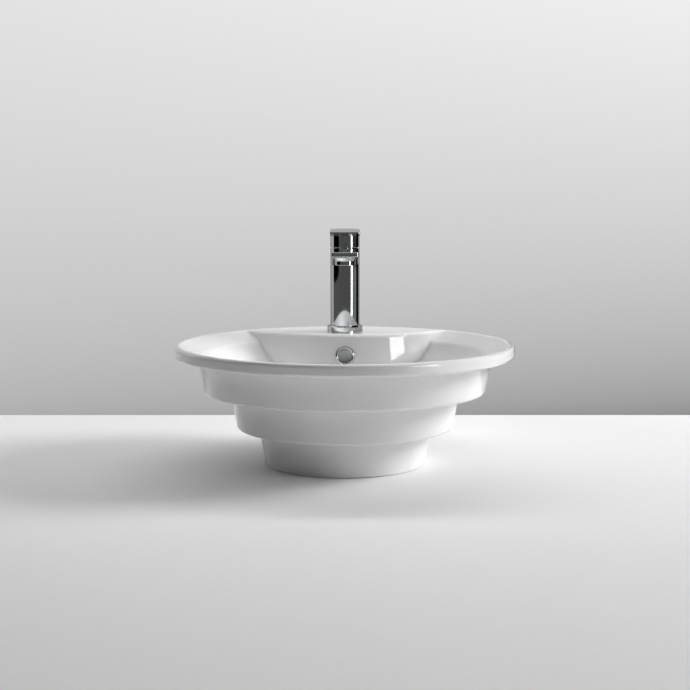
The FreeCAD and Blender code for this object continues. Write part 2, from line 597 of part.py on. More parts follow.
def hex_points(flats):
    """Corners of a hexagon about the origin from its width across flats."""
    return (("%s / sqrt(3)" % flats, "0"), ("%s / sqrt(12)" % flats, "%s / 2" % flats),
            ("-%s / sqrt(12)" % flats, "%s / 2" % flats), ("-%s / sqrt(3)" % flats, "0"),
            ("-%s / sqrt(12)" % flats, "-%s / 2" % flats), ("%s / sqrt(12)" % flats, "-%s / 2" % flats))


def hex_nut(label, flats, bore, height, spot):
    """A hexagon nut, its corners bevelled by 30 degrees outside a round face."""
    body = new_body(label, spot)
    sketch = sketch_on(body, "XY_Plane", "nut")
    outline(sketch, hex_points(flats))
    circle(sketch, bore)
    pad(body, sketch, height)
    face = "%s / 2 * %s" % (flats, NUT_FACE)
    fall = "(%s - %s) / sqrt(3)" % (flats, face)
    turned(body, ((face, height), (flats, height), (flats, height + " - " + fall)), "top_bevel", cut=True)
    turned(body, ((face, "0"), (flats, "0"), (flats, fall)), "bottom_bevel", cut=True)
    return body


# The bowl's hollow: a turned solid with the tap ledge left out
hollow = new_body("bowl_hollow")
turned(hollow, (
    ("0", "floor_height"),
    ("outlet_seat_radius", "floor_height"),
    ("heel_radius", "heel_height", "heel_round"),
    ("knee_radius", "knee_height", "knee_round"),
    ("mouth_radius", "mouth_height", "mouth_round"),
    ("dish_radius + hollow_margin", LID),
    ("0", LID)))
turned(hollow, (
    ("0", "0"),
    ("ledge_arc + ledge_splay", "0"),
    ("ledge_arc - ledge_splay", "2 * rim_height"),
    ("0", "2 * rim_height")), "ledge", cut=True, forward="-ledge_centre")


def on_ledge_face(edge):
    """Edges where the ledge's face meets the bowl, below the hollow's flat top."""
    lid, level, lean = value(LID), value("rim_height"), value("ledge_lean")
    arc, middle = value("ledge_arc"), value("ledge_centre")
    spots = spread(edge)
    return all(abs(math.hypot(spot.x, spot.y - middle) - arc - lean * (level - spot.z)) < 1e-3
               for spot in spots) and any(spot.z < lid - 1e-3 for spot in spots)


rounded(hollow, "blend", "ledge_blend", on_ledge_face)

# Basin: stepped outside, hollow foot, waste boss
basin = new_body("basin_body")
turned(basin, (
    ("foot_bore", "0", "foot_round"),
    ("foot_radius", "0", "foot_round"),
    ("foot_top_radius", "foot_height", "tier_hollow"),
    ("mid_radius", "foot_height", "tier_round"),
    ("mid_top_radius", "upper_base", "tier_hollow"),
    ("upper_radius", "upper_base", "tier_round"),
    ("upper_top_radius", "lip_base", "tier_hollow"),
    ("rim_radius", "lip_base", "lip_round"),
    ("rim_radius", "rim_height", "rim_round"),
    ("0", "rim_height"),
    ("0", "boss_base"),
    ("boss_radius", "boss_base"),
    ("boss_radius", "floor_under"),
    ("foot_bore_top", "floor_under")))

# Bowl and ledge
cut_out(basin, hollow, "bowl")


def on_top_edge(edge):
    """The inner edge of the flat top: the dish all round and the ledge's front."""
    top = value("rim_height")
    limit = value("dish_radius") + 0.5
    return all(abs(spot.z - top) < 1e-3 and math.hypot(spot.x, spot.y) < limit for spot in spread(edge))


rounded(basin, "top_edge", "ledge_edge", on_top_edge)

# Service recess under the ledge, open at the back, and the tap hole
recess = sketch_on(basin, "XZ_Plane", "recess", "-recess_front")
outline(recess, (
    ("-recess_half + recess_bevel", "recess_floor"),
    ("recess_half - recess_bevel", "recess_floor"),
    ("recess_half", "recess_floor + recess_bevel"),
    ("recess_half", "recess_top - recess_bevel"),
    ("recess_half - recess_bevel", "recess_top"),
    ("-recess_half + recess_bevel", "recess_top"),
    ("-recess_half", "recess_top - recess_bevel"),
    ("-recess_half", "recess_floor + recess_bevel")))
pocket(basin, recess, "rim_radius")
tap_hole = sketch_on(basin, "XY_Plane", "tap_hole", "rim_height")
circle(tap_hole, "tap_hole", "0", "tap_back")
pocket(basin, tap_hole, "ledge_thickness * 1.5")

# Overflow: flat seat and hole square to the ledge's face, shaft behind it, rib and duct to the outlet
opening = facing_bowl("overflow_hollow")
turned(opening, (
    ("0", "overflow_seat - shaft_back"),
    ("overflow_radius", "overflow_seat - shaft_back"),
    ("overflow_radius", "0"),
    ("overflow_ring_radius + spot_margin", "0"),
    ("overflow_ring_radius + spot_margin", "overflow_ring_radius"),
    ("0", "overflow_ring_radius")))
cut_out(basin, opening, "overflow")
shaft = sketch_on(basin, "XY_Plane", "overflow_shaft", "overflow_height")
outline(shaft, box_points("-shaft_half", "shaft_half", "shaft_front", "shaft_back"))
pocket(basin, shaft, "overflow_height - shaft_base")
rib = sketch_on(basin, "XY_Plane", "duct_rib", "boss_base")
outline(rib, box_points("-rib_half", "rib_half", "outlet_radius + overlap", "foot_radius - overlap"))
pad(basin, rib, "boss_depth + overlap")
duct = sketch_on(basin, "YZ_Plane", "overflow_duct")
outline(duct, (
    ("outlet_radius / 2", "duct_low"),
    ("duct_turn + overlap", "duct_low"),
    ("shaft_back", "shaft_base - overlap"),
    ("shaft_back", "shaft_base + overlap"),
    ("shaft_front", "shaft_base + overlap"),
    ("duct_turn - overlap", "duct_high"),
    ("outlet_radius / 2", "duct_high")))
pocket(basin, duct, "2 * duct_half", both=True)

# Outlet with the sunk seat of the waste
outlet_seat = sketch_on(basin, "XY_Plane", "outlet_seat", "floor_height + overlap")
circle(outlet_seat, "outlet_seat_radius")
pocket(basin, outlet_seat, "outlet_seat_depth + overlap")
outlet = sketch_on(basin, "XY_Plane", "outlet", "floor_height + overlap")
circle(outlet, "outlet_radius")
pocket(basin, outlet, "floor_height")

# Overflow ring: a rounded bezel with a sleeve, facing the bowl
overflow_ring = facing_bowl("overflow_ring")
turned(overflow_ring, (
    ("overflow_bore", "-overflow_sleeve"),
    ("overflow_radius - fit_gap", "-overflow_sleeve"),
    ("overflow_radius - fit_gap", "0"),
    ("overflow_ring_radius", "0"),
    ("overflow_ring_radius", "overflow_ring_depth", "overflow_ring_round"),
    ("overflow_bore", "overflow_ring_depth", "overflow_ring_round")))

# Waste: flanged tail with cross bars and overflow slots
waste = new_body("waste_body")
turned(waste, (
    ("tail_bore", "tail_end"),
    ("tail_radius", "tail_end"),
    ("tail_radius", "back_nut_base - relief_height"),
    ("tail_radius - relief_depth", "back_nut_base - relief_height"),
    ("tail_radius - relief_depth", "back_nut_base"),
    ("tail_radius", "back_nut_base"),
    ("tail_radius", "flange_base"),
    ("flange_radius", "flange_base"),
    ("flange_radius", "flange_top - flange_bevel"),
    ("flange_radius - flange_bevel", "flange_top"),
    ("tail_bore + throat_bevel", "flange_top"),
    ("tail_bore", "flange_top - throat_bevel")))
spider = sketch_on(waste, "XY_Plane", "spider", "spider_base")
reach = "(tail_bore + bar_root)"
outline(spider, (
    (reach, "-spider_half"), (reach, "spider_half"), ("spider_half", "spider_half"),
    ("spider_half", reach), ("-spider_half", reach), ("-spider_half", "spider_half"),
    ("-" + reach, "spider_half"), ("-" + reach, "-spider_half"), ("-spider_half", "-spider_half"),
    ("-spider_half", "-" + reach), ("spider_half", "-" + reach), ("spider_half", "-spider_half")))
pad(waste, spider, "spider_height")
hub = sketch_on(waste, "XY_Plane", "hub", "spider_base")
circle(hub, "hub_radius")
pad(waste, hub, "spider_height")
hub_bore = sketch_on(waste, "XY_Plane", "hub_bore", "spider_base")
circle(hub_bore, "click_radius + fit_gap")
pocket(waste, hub_bore, "spider_height", forward=True)
for side, role in (("front", "XZ_Plane"), ("side", "YZ_Plane")):
    slot = sketch_on(waste, role, "slot_" + side)
    outline(slot, box_points("-slot_half", "slot_half", "slot_base", "slot_base + slot_height"))
    pocket(waste, slot, "3 * tail_radius", both=True)

washer("waste_flange_seal", "tail_radius + free_gap", "flange_radius - seal_inset",
       "outlet_seat", "flange_seal_height")
washer("waste_under_seal", "tail_radius + fit_gap", "under_seal_radius",
       "under_seal_base", "under_seal_height")
washer("waste_slip_ring", "tail_radius + fit_gap", "under_seal_radius - slip_ring_inset",
       "slip_ring_base", "slip_ring_height")
hex_nut("waste_back_nut", "back_nut_flats", "tail_radius + fit_gap", "back_nut_height",
        ("0", "0", "back_nut_base"))

# Click cartridge, spindle, plug and its seal
click = new_body("click_cartridge")
turned(click, (
    ("0", "click_base"),
    ("click_radius", "click_base"),
    ("click_radius", "spider_top"),
    ("click_collar", "spider_top"),
    ("click_collar", "click_shoulder"),
    ("click_radius", "click_shoulder"),
    ("click_radius", "click_top"),
    ("spindle_radius + fit_gap", "click_top"),
    ("spindle_radius + fit_gap", "click_top - bush_height"),
    ("click_bore", "click_top - bush_height"),
    ("click_bore", "click_base + click_floor"),
    ("0", "click_base + click_floor")))
spindle = new_body("plug_spindle")
turned(spindle, (
    ("0", "spindle_stop - spindle_head"),
    ("click_bore - free_gap", "spindle_stop - spindle_head"),
    ("click_bore - free_gap", "spindle_stop"),
    ("spindle_radius", "spindle_stop"),
    ("spindle_radius", "plug_base + spindle_seat"),
    ("0", "plug_base + spindle_seat")))
plug = new_body("waste_plug")
turned(plug, (
    ("0", "plug_base + spindle_seat"),
    ("spindle_radius + fit_gap", "plug_base + spindle_seat"),
    ("spindle_radius + fit_gap", "plug_base - plug_hub_depth"),
    ("plug_hub_radius", "plug_base - plug_hub_depth"),
    ("plug_hub_radius", "plug_base"),
    ("plug_seal_bore - skirt_wall", "plug_base"),
    ("plug_seal_bore - skirt_wall", "plug_base - skirt_depth"),
    ("plug_seal_bore - fit_gap", "plug_base - skirt_depth"),
    ("plug_seal_bore - fit_gap", "plug_base"),
    ("plug_radius", "plug_base"),
    ("plug_radius", "crown_base", "plug_edge_round"),
    ("plug_radius - crown_inset", "crown_base + crown_rise"),
    ("0", "crown_base + plug_crown")))
washer("plug_seal", "plug_seal_bore", "plug_seal_radius", "plug_seal_base", "plug_seal_height")

# Tap: column and rising spout in one casting
tap = new_body("tap_body", TAP_AXIS)
turned(tap, (
    ("0", "0"),
    ("column_radius", "0"),
    ("column_radius", "column_height"),
    ("0", "column_height")), "column")
spout = sketch_on(tap, "YZ_Plane", "spout")
outline(spout, (
    ("-spout_root", "spout_root_base"),
    ("-spout_tip", "spout_tip_base"),
    ("-spout_tip", "spout_tip_top"),
    ("-spout_root", "spout_root_top")))
pad(tap, spout, "2 * spout_half", both=True)


def spout_corners(edge):
    """The two upright corners of the spout's front face."""
    return span(edge, "y")[1] < -value("spout_tip") + 1e-3 and \
        all(abs(abs(spot.x) - value("spout_half")) < 1e-3 for spot in spread(edge))


def along(edge, root, tip):
    """True where an edge, seen from the side, lies on the line from the spout's root to its tip."""
    rise = (value(tip) - value(root)) / value("spout_tip - spout_root")
    reach = value("spout_tip")
    return all(abs(spot.z - value(tip) + rise * (spot.y + reach)) < 1e-2 for spot in spread(edge))


def spout_edges(edge):
    """The long edges of the spout and those of its front face, clear of the column."""
    spots = spread(edge)
    if any(spot.y > -value("spout_root") for spot in spots):
        return False
    if all(math.hypot(spot.x, spot.y) < value("column_radius") + 1e-3 for spot in spots):
        return False
    return along(edge, "spout_root_top", "spout_tip_top") or along(edge, "spout_root_base", "spout_tip_base")


rounded(tap, "rim", "column_edge", ring_at("column_radius", "column_height"))
rounded(tap, "corners", "spout_corner", spout_corners)
rounded(tap, "edges", "spout_edge", spout_edges)
turned(tap, (
    ("0", "nozzle_base"),
    ("nozzle_radius - nozzle_step", "nozzle_base"),
    ("nozzle_radius", "nozzle_base + nozzle_bevel", "nozzle_round"),
    ("nozzle_radius", "nozzle_base + nozzle_height"),
    ("0", "nozzle_base + nozzle_height")), "nozzle", forward="spout_reach")

# Bores of the tap: nut thread, cartridge, nozzle, water channel, inlets, stud, seal groove
bore = sketch_on(tap, "XY_Plane", "nut_bore", "column_height")
circle(bore, "nut_radius + fit_gap")
pocket(tap, bore, "column_height - cartridge_top")
bore = sketch_on(tap, "XY_Plane", "cartridge_bore", "column_height")
circle(bore, "cartridge_radius + fit_gap")
pocket(tap, bore, "column_height - cartridge_seat")
bore = sketch_on(tap, "XY_Plane", "nozzle_bore", "nozzle_base")
circle(bore, "aerator_thread + fit_gap", "0", "-spout_reach")
pocket(tap, bore, "aerator_depth", forward=True)
channel = sketch_on(tap, "YZ_Plane", "channel")
outline(channel, (
    ("-cartridge_bore", "carrier_base"),
    ("-spout_reach", "channel_top - channel_height"),
    ("-spout_reach", "channel_top"),
    ("-cartridge_bore", "carrier_base + channel_height")))
pocket(tap, channel, "2 * channel_half", both=True)
for side, sign in (("left", "-"), ("right", "")):
    way = sketch_on(tap, "XY_Plane", "inlet_" + side)
    circle(way, "inlet_radius", sign + "inlet_side", "-inlet_front")
    pocket(tap, way, "inlet_depth", forward=True)
    way = sketch_on(tap, "XY_Plane", "waterway_" + side)
    circle(way, "waterway", sign + "inlet_side", "-inlet_front")
    pocket(tap, way, "cartridge_seat", forward=True)
bore = sketch_on(tap, "XY_Plane", "stud_bore")
circle(bore, "stud_radius + fit_gap", "0", "stud_back")
pocket(tap, bore, "stud_depth", forward=True)
groove = sketch_on(tap, "XY_Plane", "seal_groove")
circle(groove, "base_seal_radius + fit_gap")
circle(groove, "base_seal_bore - fit_gap")
pocket(tap, groove, "base_seal_height", forward=True)

# Base ring and seal of the tap
base_ring = new_body("tap_base_ring", TAP_AXIS)
turned(base_ring, (
    ("column_radius + fit_gap", "0"),
    ("collar_radius", "0"),
    ("collar_radius", "collar_height - collar_step"),
    ("collar_radius - collar_step", "collar_height"),
    ("column_radius + fit_gap", "collar_height")))
washer("tap_base_seal", "base_seal_bore", "base_seal_radius", "0", "base_seal_height", TAP_AXIS)

# Fixing under the ledge: stud, horseshoe rubber and plate, nut
stud = new_body("fixing_stud", ("0", "tap_back + stud_back", "recess_top - stud_below"))
stud_sketch = sketch_on(stud, "XY_Plane", "stud")
circle(stud_sketch, "stud_radius")
pad(stud, stud_sketch, "stud_below + ledge_thickness + stud_depth")


def horseshoe(label, height, level):
    """A flat horseshoe that hooks round the hoses and takes the stud."""
    body = new_body(label, ("0", "tap_back", level))
    sketch = sketch_on(body, "XY_Plane", "plate")
    circle(sketch, "clamp_radius")
    circle(sketch, "stud_radius + free_gap", "0", "stud_back")
    pad(body, sketch, height)
    slot = sketch_on(body, "XY_Plane", "slot")
    outline(slot, box_points("-clamp_slot", "clamp_slot", "-clamp_radius - overlap", "clamp_slot_back"))
    pocket(body, slot, "2 * " + height, both=True)
    front = sketch_on(body, "XY_Plane", "front")
    outline(front, box_points("-clamp_radius - overlap", "clamp_radius + overlap",
                              "-clamp_radius - overlap", "-clamp_front"))
    pocket(body, front, "2 * " + height, both=True)
    return body


horseshoe("clamp_rubber", "rubber_height", "recess_top - rubber_height")
horseshoe("clamp_plate", "plate_height", "recess_top - rubber_height - plate_height")
hex_nut("fixing_nut", "fixing_nut_flats", "stud_radius + fit_gap", "fixing_nut_height",
        ("0", "tap_back + stud_back", "recess_top - rubber_height - plate_height - fixing_nut_height"))

# Aerator: ring, insert with its grille, washer
NOZZLE_AXIS = ("0", "tap_back - spout_reach", "rim_height")
aerator = new_body("aerator_ring", NOZZLE_AXIS)
turned(aerator, (
    ("aerator_bore - aerator_lip", "aerator_base"),
    ("aerator_radius", "aerator_base", "aerator_round"),
    ("aerator_radius", "nozzle_base"),
    ("aerator_thread", "nozzle_base"),
    ("aerator_thread", "nozzle_base + aerator_thread_length"),
    ("aerator_bore", "nozzle_base + aerator_thread_length"),
    ("aerator_bore", "insert_base"),
    ("aerator_bore - aerator_lip", "insert_base")))
insert = new_body("aerator_insert", NOZZLE_AXIS)
turned(insert, (
    ("0", "insert_base"),
    ("aerator_bore - fit_gap", "insert_base"),
    ("aerator_bore - fit_gap", "insert_base + insert_height"),
    ("0", "insert_base + insert_height")))
grille = sketch_on(insert, "XY_Plane", "grille", "insert_base")
circle(grille, "insert_hole")
for row, count in ((1, 6), (2, 12)):
    for step in range(count):
        angle = math.radians(FULL_TURN * step / count)
        circle(grille, "insert_hole", "%.6f * grille_pitch" % (row * math.cos(angle)),
               "%.6f * grille_pitch" % (row * math.sin(angle)))
pocket(insert, grille, "insert_height", forward=True)
washer("aerator_washer", "aerator_washer_bore", "aerator_thread - fit_gap",
       "nozzle_base + aerator_thread_length", "aerator_washer_height", NOZZLE_AXIS)

# Cartridge: base with ports, port seals, housing
base = new_body("cartridge_base", TAP_AXIS)
base_sketch = sketch_on(base, "XY_Plane", "base", "cartridge_seat")
circle(base_sketch, "cartridge_radius")
for sign in ("-", ""):
    circle(base_sketch, "waterway", sign + "inlet_side", "-inlet_front")
pad(base, base_sketch, "cartridge_base_height")
for side, sign in (("left", "-"), ("right", "")):
    groove = sketch_on(base, "XY_Plane", "groove_" + side, "cartridge_seat")
    circle(groove, "port_seal_radius + port_seal_wire + fit_gap", sign + "inlet_side", "-inlet_front")
    pocket(base, groove, "2 * port_seal_wire", forward=True)
seals = []
for side, sign in (("left", "-"), ("right", "")):
    seal = doc.addObject("Part::Torus", "port_seal_" + side)
    bind(seal, "Radius1", "port_seal_radius")
    bind(seal, "Radius2", "port_seal_wire")
    place(seal, (sign + "inlet_side", "tap_back - inlet_front",
                 "rim_height + cartridge_seat + port_seal_wire"))
    seals.append(seal)
port_seals = doc.addObject("Part::Compound", "cartridge_port_seals")
port_seals.Links = seals

housing = new_body("cartridge_housing", TAP_AXIS)
turned(housing, (
    ("cartridge_bore", "disc_base"),
    ("cartridge_radius", "disc_base"),
    ("cartridge_radius", "cartridge_top"),
    ("rotor_neck + free_gap", "cartridge_top"),
    ("rotor_neck + free_gap", "cartridge_top - cartridge_lip"),
    ("cartridge_bore", "cartridge_top - cartridge_lip")))
window = sketch_on(housing, "XZ_Plane", "window")
outline(window, box_points("-window_half", "window_half",
                           "moving_disc_base + window_rise", "rotor_base + channel_height"))
pocket(housing, window, "cartridge_radius + overlap", forward=True)

# Ceramic discs and the carrier that slides with the upper one
fixed_disc = new_body("fixed_disc", TAP_AXIS)
fixed_sketch = sketch_on(fixed_disc, "XY_Plane", "disc", "disc_base")
circle(fixed_sketch, "cartridge_bore - fit_gap")
for sign in ("-", ""):
    circle(fixed_sketch, "waterway", sign + "inlet_side", "-inlet_front")
pad(fixed_disc, fixed_sketch, "disc_height")
DISC_AXIS = ("0", "tap_back + disc_offset", "rim_height")
moving_disc = new_body("moving_disc", DISC_AXIS)
moving_sketch = sketch_on(moving_disc, "XY_Plane", "disc", "moving_disc_base")
circle(moving_sketch, "moving_disc_radius")
pad(moving_disc, moving_sketch, "disc_height")
carrier = new_body("disc_carrier", DISC_AXIS)
plate = sketch_on(carrier, "XY_Plane", "plate", "carrier_base")
circle(plate, "moving_disc_radius")
pad(carrier, plate, "carrier_height")
guide = sketch_on(carrier, "XY_Plane", "guide", "carrier_base")
outline(guide, box_points("-carrier_half", "carrier_half", "-carrier_length", "carrier_length - disc_offset"))
pad(carrier, guide, "carrier_height + carrier_rib")
well = sketch_on(carrier, "XY_Plane", "well", "carrier_top")
outline(well, box_points("-carrier_half + well_wall", "carrier_half - well_wall",
                         "-carrier_length + well_end", "carrier_length - disc_offset - well_end"))
pocket(carrier, well, "carrier_rib", forward=True)
finger_slot = sketch_on(carrier, "XY_Plane", "finger_slot", "carrier_base")
outline(finger_slot, box_points("-finger_slot", "finger_slot",
                                "-disc_offset - finger_slot", "-disc_offset + finger_slot"))
pocket(carrier, finger_slot, "carrier_height", forward=True)

# Rotor: turns in the housing, guides the carrier, holds the stem's pivot
rotor = new_body("cartridge_rotor", TAP_AXIS)
turned(rotor, (
    ("0", "rotor_base"),
    ("cartridge_bore - fit_gap", "rotor_base"),
    ("cartridge_bore - fit_gap", "rotor_shoulder"),
    ("rotor_neck", "rotor_shoulder"),
    ("rotor_neck", "rotor_top"),
    ("0", "rotor_top")))
guide_slot = sketch_on(rotor, "XY_Plane", "guide_slot", "rotor_base")
outline(guide_slot, box_points("-carrier_half - fit_gap", "carrier_half + fit_gap",
                               "-2 * cartridge_bore", "2 * cartridge_bore"))
pocket(rotor, guide_slot, "carrier_rib", forward=True)
stem_slot = sketch_on(rotor, "XY_Plane", "stem_slot", "rotor_base")
outline(stem_slot, box_points("-stem_half - fit_gap", "stem_half + fit_gap",
                              "-stem_slot_front", "stem_slot_back"))
pocket(rotor, stem_slot, "rotor_top - rotor_base", forward=True)
pivot_bore = sketch_on(rotor, "YZ_Plane", "pivot_bore")
circle(pivot_bore, "pivot_radius + fit_gap", "0", "pivot_height")
pocket(rotor, pivot_bore, "4 * rotor_neck", both=True)

# Stem with its finger, and the pivot pin
stem = new_body("lever_stem", TAP_AXIS)
finger = sketch_on(stem, "XY_Plane", "finger", "finger_base")
circle(finger, "finger_radius")
pad(stem, finger, "pivot_height - finger_base")
rounded(stem, "tip", "finger_radius - finger_flat", ring_at("finger_radius", "finger_base"))
square = sketch_on(stem, "XY_Plane", "square", "stem_base")
outline(square, box_points("-stem_half", "stem_half", "-stem_half", "stem_half"))
pad(stem, square, "stem_top - stem_base")
stem_bore = sketch_on(stem, "YZ_Plane", "pivot_bore")
circle(stem_bore, "pivot_radius + pin_gap", "0", "pivot_height")
pocket(stem, stem_bore, "4 * stem_half", both=True)
pivot = new_body("pivot_pin", TAP_AXIS)
pivot_sketch = sketch_on(pivot, "YZ_Plane", "pin")
circle(pivot_sketch, "pivot_radius", "0", "pivot_height")
pad(pivot, pivot_sketch, "2 * pivot_half", both=True)

# Cartridge nut and cover ring
washer("cartridge_nut", "nut_bore", "nut_radius", "cartridge_top", "nut_height", TAP_AXIS)
cover = new_body("cover_ring", TAP_AXIS)
turned(cover, (
    ("cover_bore", "nut_top"),
    ("nut_radius", "nut_top"),
    ("nut_radius", "cover_top - cover_step"),
    ("cover_top_radius", "cover_top"),
    ("cover_bore", "cover_top")))

# Lever: round cap with a flat blade, hollow inside, boss and lug for the stem
lever = new_body("lever_handle", TAP_AXIS)
cap = sketch_on(lever, "XY_Plane", "cap", "lever_base")
circle(cap, "column_radius")
pad(lever, cap, "lever_stock - lever_base")
rounded(lever, "cap_edge", "lever_edge", ring_at("column_radius", "lever_base"))
blade = sketch_on(lever, "YZ_Plane", "blade")
outline(blade, (
    ("0", "cap_top"),
    ("-column_radius", "cap_top"),
    ("-blade_reach", "blade_tip_base"),
    ("-blade_reach", "lever_stock"),
    ("0", "lever_stock")))
pad(lever, blade, "2 * column_radius", both=True)


def blade_corners(edge):
    """The two upright corners of the blade's tip."""
    return span(edge, "y")[1] < -value("blade_reach") + 1e-3 and \
        span(edge, "x")[1] - span(edge, "x")[0] < 1e-3


rounded(lever, "corners", "blade_corner", blade_corners)
top = sketch_on(lever, "YZ_Plane", "top")
outline(top, (
    ("-blade_reach - overlap", "blade_tip_top - overlap * blade_fall"),
    ("column_radius + overlap", "blade_tip_top + (blade_reach + column_radius + overlap) * blade_fall"),
    ("column_radius + overlap", "lever_stock + overlap"),
    ("-blade_reach - overlap", "lever_stock + overlap")))
pocket(lever, top, "4 * column_radius", both=True)


def on_lever_top(edge):
    """The edges of the lever's sloping top."""
    level, fall, tip = value("blade_tip_top"), value("blade_fall"), value("blade_reach")
    return all(abs(spot.z - level - fall * (spot.y + tip)) < 1e-3 for spot in spread(edge))


rounded(lever, "top_edge", "lever_edge", on_lever_top)
slope = sketch_on(lever, "YZ_Plane", "slope")
outline(slope, (
    ("-lever_tilt_front", "lever_base"),
    ("column_radius + overlap", "lever_base + (column_radius + overlap + lever_tilt_front) * lever_tilt"),
    ("column_radius + overlap", "lever_base - overlap"),
    ("-lever_tilt_front", "lever_base - overlap")))
pocket(lever, slope, "4 * column_radius", both=True)
inside = sketch_on(lever, "XY_Plane", "hollow", "lever_base - overlap")
circle(inside, "cap_bore")
pocket(lever, inside, "hollow_top - lever_base + overlap", forward=True)
boss = sketch_on(lever, "XY_Plane", "boss", "lever_boss_base")
circle(boss, "lever_boss")
pad(lever, boss, "hollow_top - lever_boss_base + overlap")
lug = sketch_on(lever, "XY_Plane", "lug", "lever_boss_base")
outline(lug, box_points("-lug_half", "lug_half", "-lug_front", "0"))
pad(lever, lug, "hollow_top - lever_boss_base + overlap")
socket = sketch_on(lever, "XY_Plane", "socket", "lever_boss_base")
outline(socket, box_points("-stem_half - fit_gap", "stem_half + fit_gap",
                           "-stem_half - fit_gap", "stem_half + fit_gap"))
pocket(lever, socket, "stem_top - lever_boss_base", forward=True)
screw_way = sketch_on(lever, "XZ_Plane", "screw_way")
circle(screw_way, "screw_radius", "0", "screw_height")
pocket(lever, screw_way, "2 * column_radius", forward=True)

# Lever screw and index plug, both along the screw hole
screw = new_body("lever_screw", TAP_AXIS)
screw_sketch = sketch_on(screw, "XZ_Plane", "screw", "stem_half")
circle(screw_sketch, "screw_radius - fit_gap", "0", "screw_height")
pad(screw, screw_sketch, "screw_length")
key = sketch_on(screw, "XZ_Plane", "key", "stem_half + screw_length")
corners = hex_points("screw_socket")
outline(key, [(across, "screw_height + (%s)" % up) for across, up in corners])
pocket(screw, key, "screw_socket")
index = new_body("index_plug", TAP_AXIS)
index_sketch = sketch_on(index, "XZ_Plane", "plug", "column_radius - plug_depth")
circle(index_sketch, "screw_radius - fit_gap", "0", "screw_height")
pad(index, index_sketch, "plug_depth - plug_sink")

doc.recompute()

# Hand out: every body but the two hollows, and the pair of port seals
parts = [item for item in doc.Objects if item.TypeId == "PartDesign::Body" and item not in (hollow, opening)]
parts.append(port_seals)
for item in doc.Objects:
    if "Invalid" in item.State or "Error" in item.State:
        raise RuntimeError("does not build: " + item.Name)
for item in parts:
    if item.Shape.isNull() or not item.Shape.isValid():
        raise RuntimeError("bad shape: " + item.Label)
os.makedirs("parts", exist_ok=True)
for item in parts:
    item.Shape.exportStep("parts/" + item.Label + ".step")
    box = item.Shape.BoundBox
    print("%-22s %d solid  %9.1f mm3  z %.2f to %.2f" % (
        item.Label, len(item.Shape.Solids), item.Shape.Volume, box.ZMin, box.ZMax))
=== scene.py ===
"""Studio picture of a stepped countertop basin with its mixer tap, overflow and push waste.

Everything is in metres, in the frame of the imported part: Z up, the foot on Z = 0, the tap at the back (+Y).
"""

import logging
import math
from dataclasses import dataclass
from enum import Enum
from typing import ClassVar

import bmesh
import bpy
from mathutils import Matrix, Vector


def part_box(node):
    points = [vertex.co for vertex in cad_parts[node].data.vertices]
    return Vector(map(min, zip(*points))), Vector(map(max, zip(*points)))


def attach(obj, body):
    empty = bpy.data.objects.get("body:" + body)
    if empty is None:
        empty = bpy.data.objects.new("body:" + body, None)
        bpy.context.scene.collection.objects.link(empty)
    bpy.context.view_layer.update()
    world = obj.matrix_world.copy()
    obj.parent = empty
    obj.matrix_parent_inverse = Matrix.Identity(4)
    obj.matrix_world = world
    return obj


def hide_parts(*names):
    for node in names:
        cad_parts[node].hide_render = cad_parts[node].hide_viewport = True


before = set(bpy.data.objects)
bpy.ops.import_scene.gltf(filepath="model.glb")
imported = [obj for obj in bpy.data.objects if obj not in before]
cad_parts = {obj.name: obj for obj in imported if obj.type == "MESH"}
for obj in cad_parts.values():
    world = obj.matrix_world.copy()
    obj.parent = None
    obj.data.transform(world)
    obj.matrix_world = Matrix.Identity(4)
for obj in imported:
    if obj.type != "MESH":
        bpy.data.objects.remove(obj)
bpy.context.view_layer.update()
MM = 0.001
LOG = logging.getLogger("countertop_basin")

# Sockets of a Mix node, which has several of each name
MIX_SHARE = 0
VALUE_A, VALUE_B, VALUE_OUT = 2, 3, 0
COLOUR_A, COLOUR_B, COLOUR_OUT = 6, 7, 2


def linear(tone: str) -> tuple[float, float, float, float]:
    """Turns a colour as it is seen into the linear values that the shaders take.

    Args:
        tone: sRGB hex value, such as "F0F0EE".

    Returns:
        Red, green, blue and alpha.
    """
    seen = [int(tone[spot:spot + 2], 16) / 255 for spot in (0, 2, 4)]
    # The sRGB curve: straight near black, a power above
    red, green, blue = (part / 12.92 if part <= 0.04045 else ((part + 0.055) / 1.055) ** 2.4 for part in seen)
    return red, green, blue, 1.0


def add_node(tree: bpy.types.NodeTree, kind: str, inputs: dict | None = None, **settings: object) -> bpy.types.Node:
    """Adds one node with its settings, constant inputs and links.

    Args:
        tree: Node tree that takes it.
        kind: Type name of the node.
        inputs: Socket name or index, with a number, a colour or another node's output for it.
        settings: Properties of the node itself.

    Returns:
        The new node.
    """
    made = tree.nodes.new(kind)
    for name, setting in settings.items():
        setattr(made, name, setting)
    for key, given in (inputs or {}).items():
        if isinstance(given, bpy.types.NodeSocket):
            tree.links.new(given, made.inputs[key])
        else:
            made.inputs[key].default_value = given
    return made


def new_material(name: str) -> tuple[bpy.types.Material, bpy.types.NodeTree]:
    """Starts a node material with an empty tree.

    Args:
        name: Name of the material.

    Returns:
        The material and its tree.
    """
    made = bpy.data.materials.new(name)
    made.use_nodes = True
    made.node_tree.nodes.clear()
    return made, made.node_tree


class Grain(Enum):
    """How a surface was made, which gives its fine relief."""

    FLOWED = "flowed glaze or polished plate, slow waves"
    TURNED = "turned on a lathe, rings one above the other"
    MOULDED = "moulded against a spark-eroded tool, fine pits"
    LAPPED = "lapped flat, crossing hairlines"


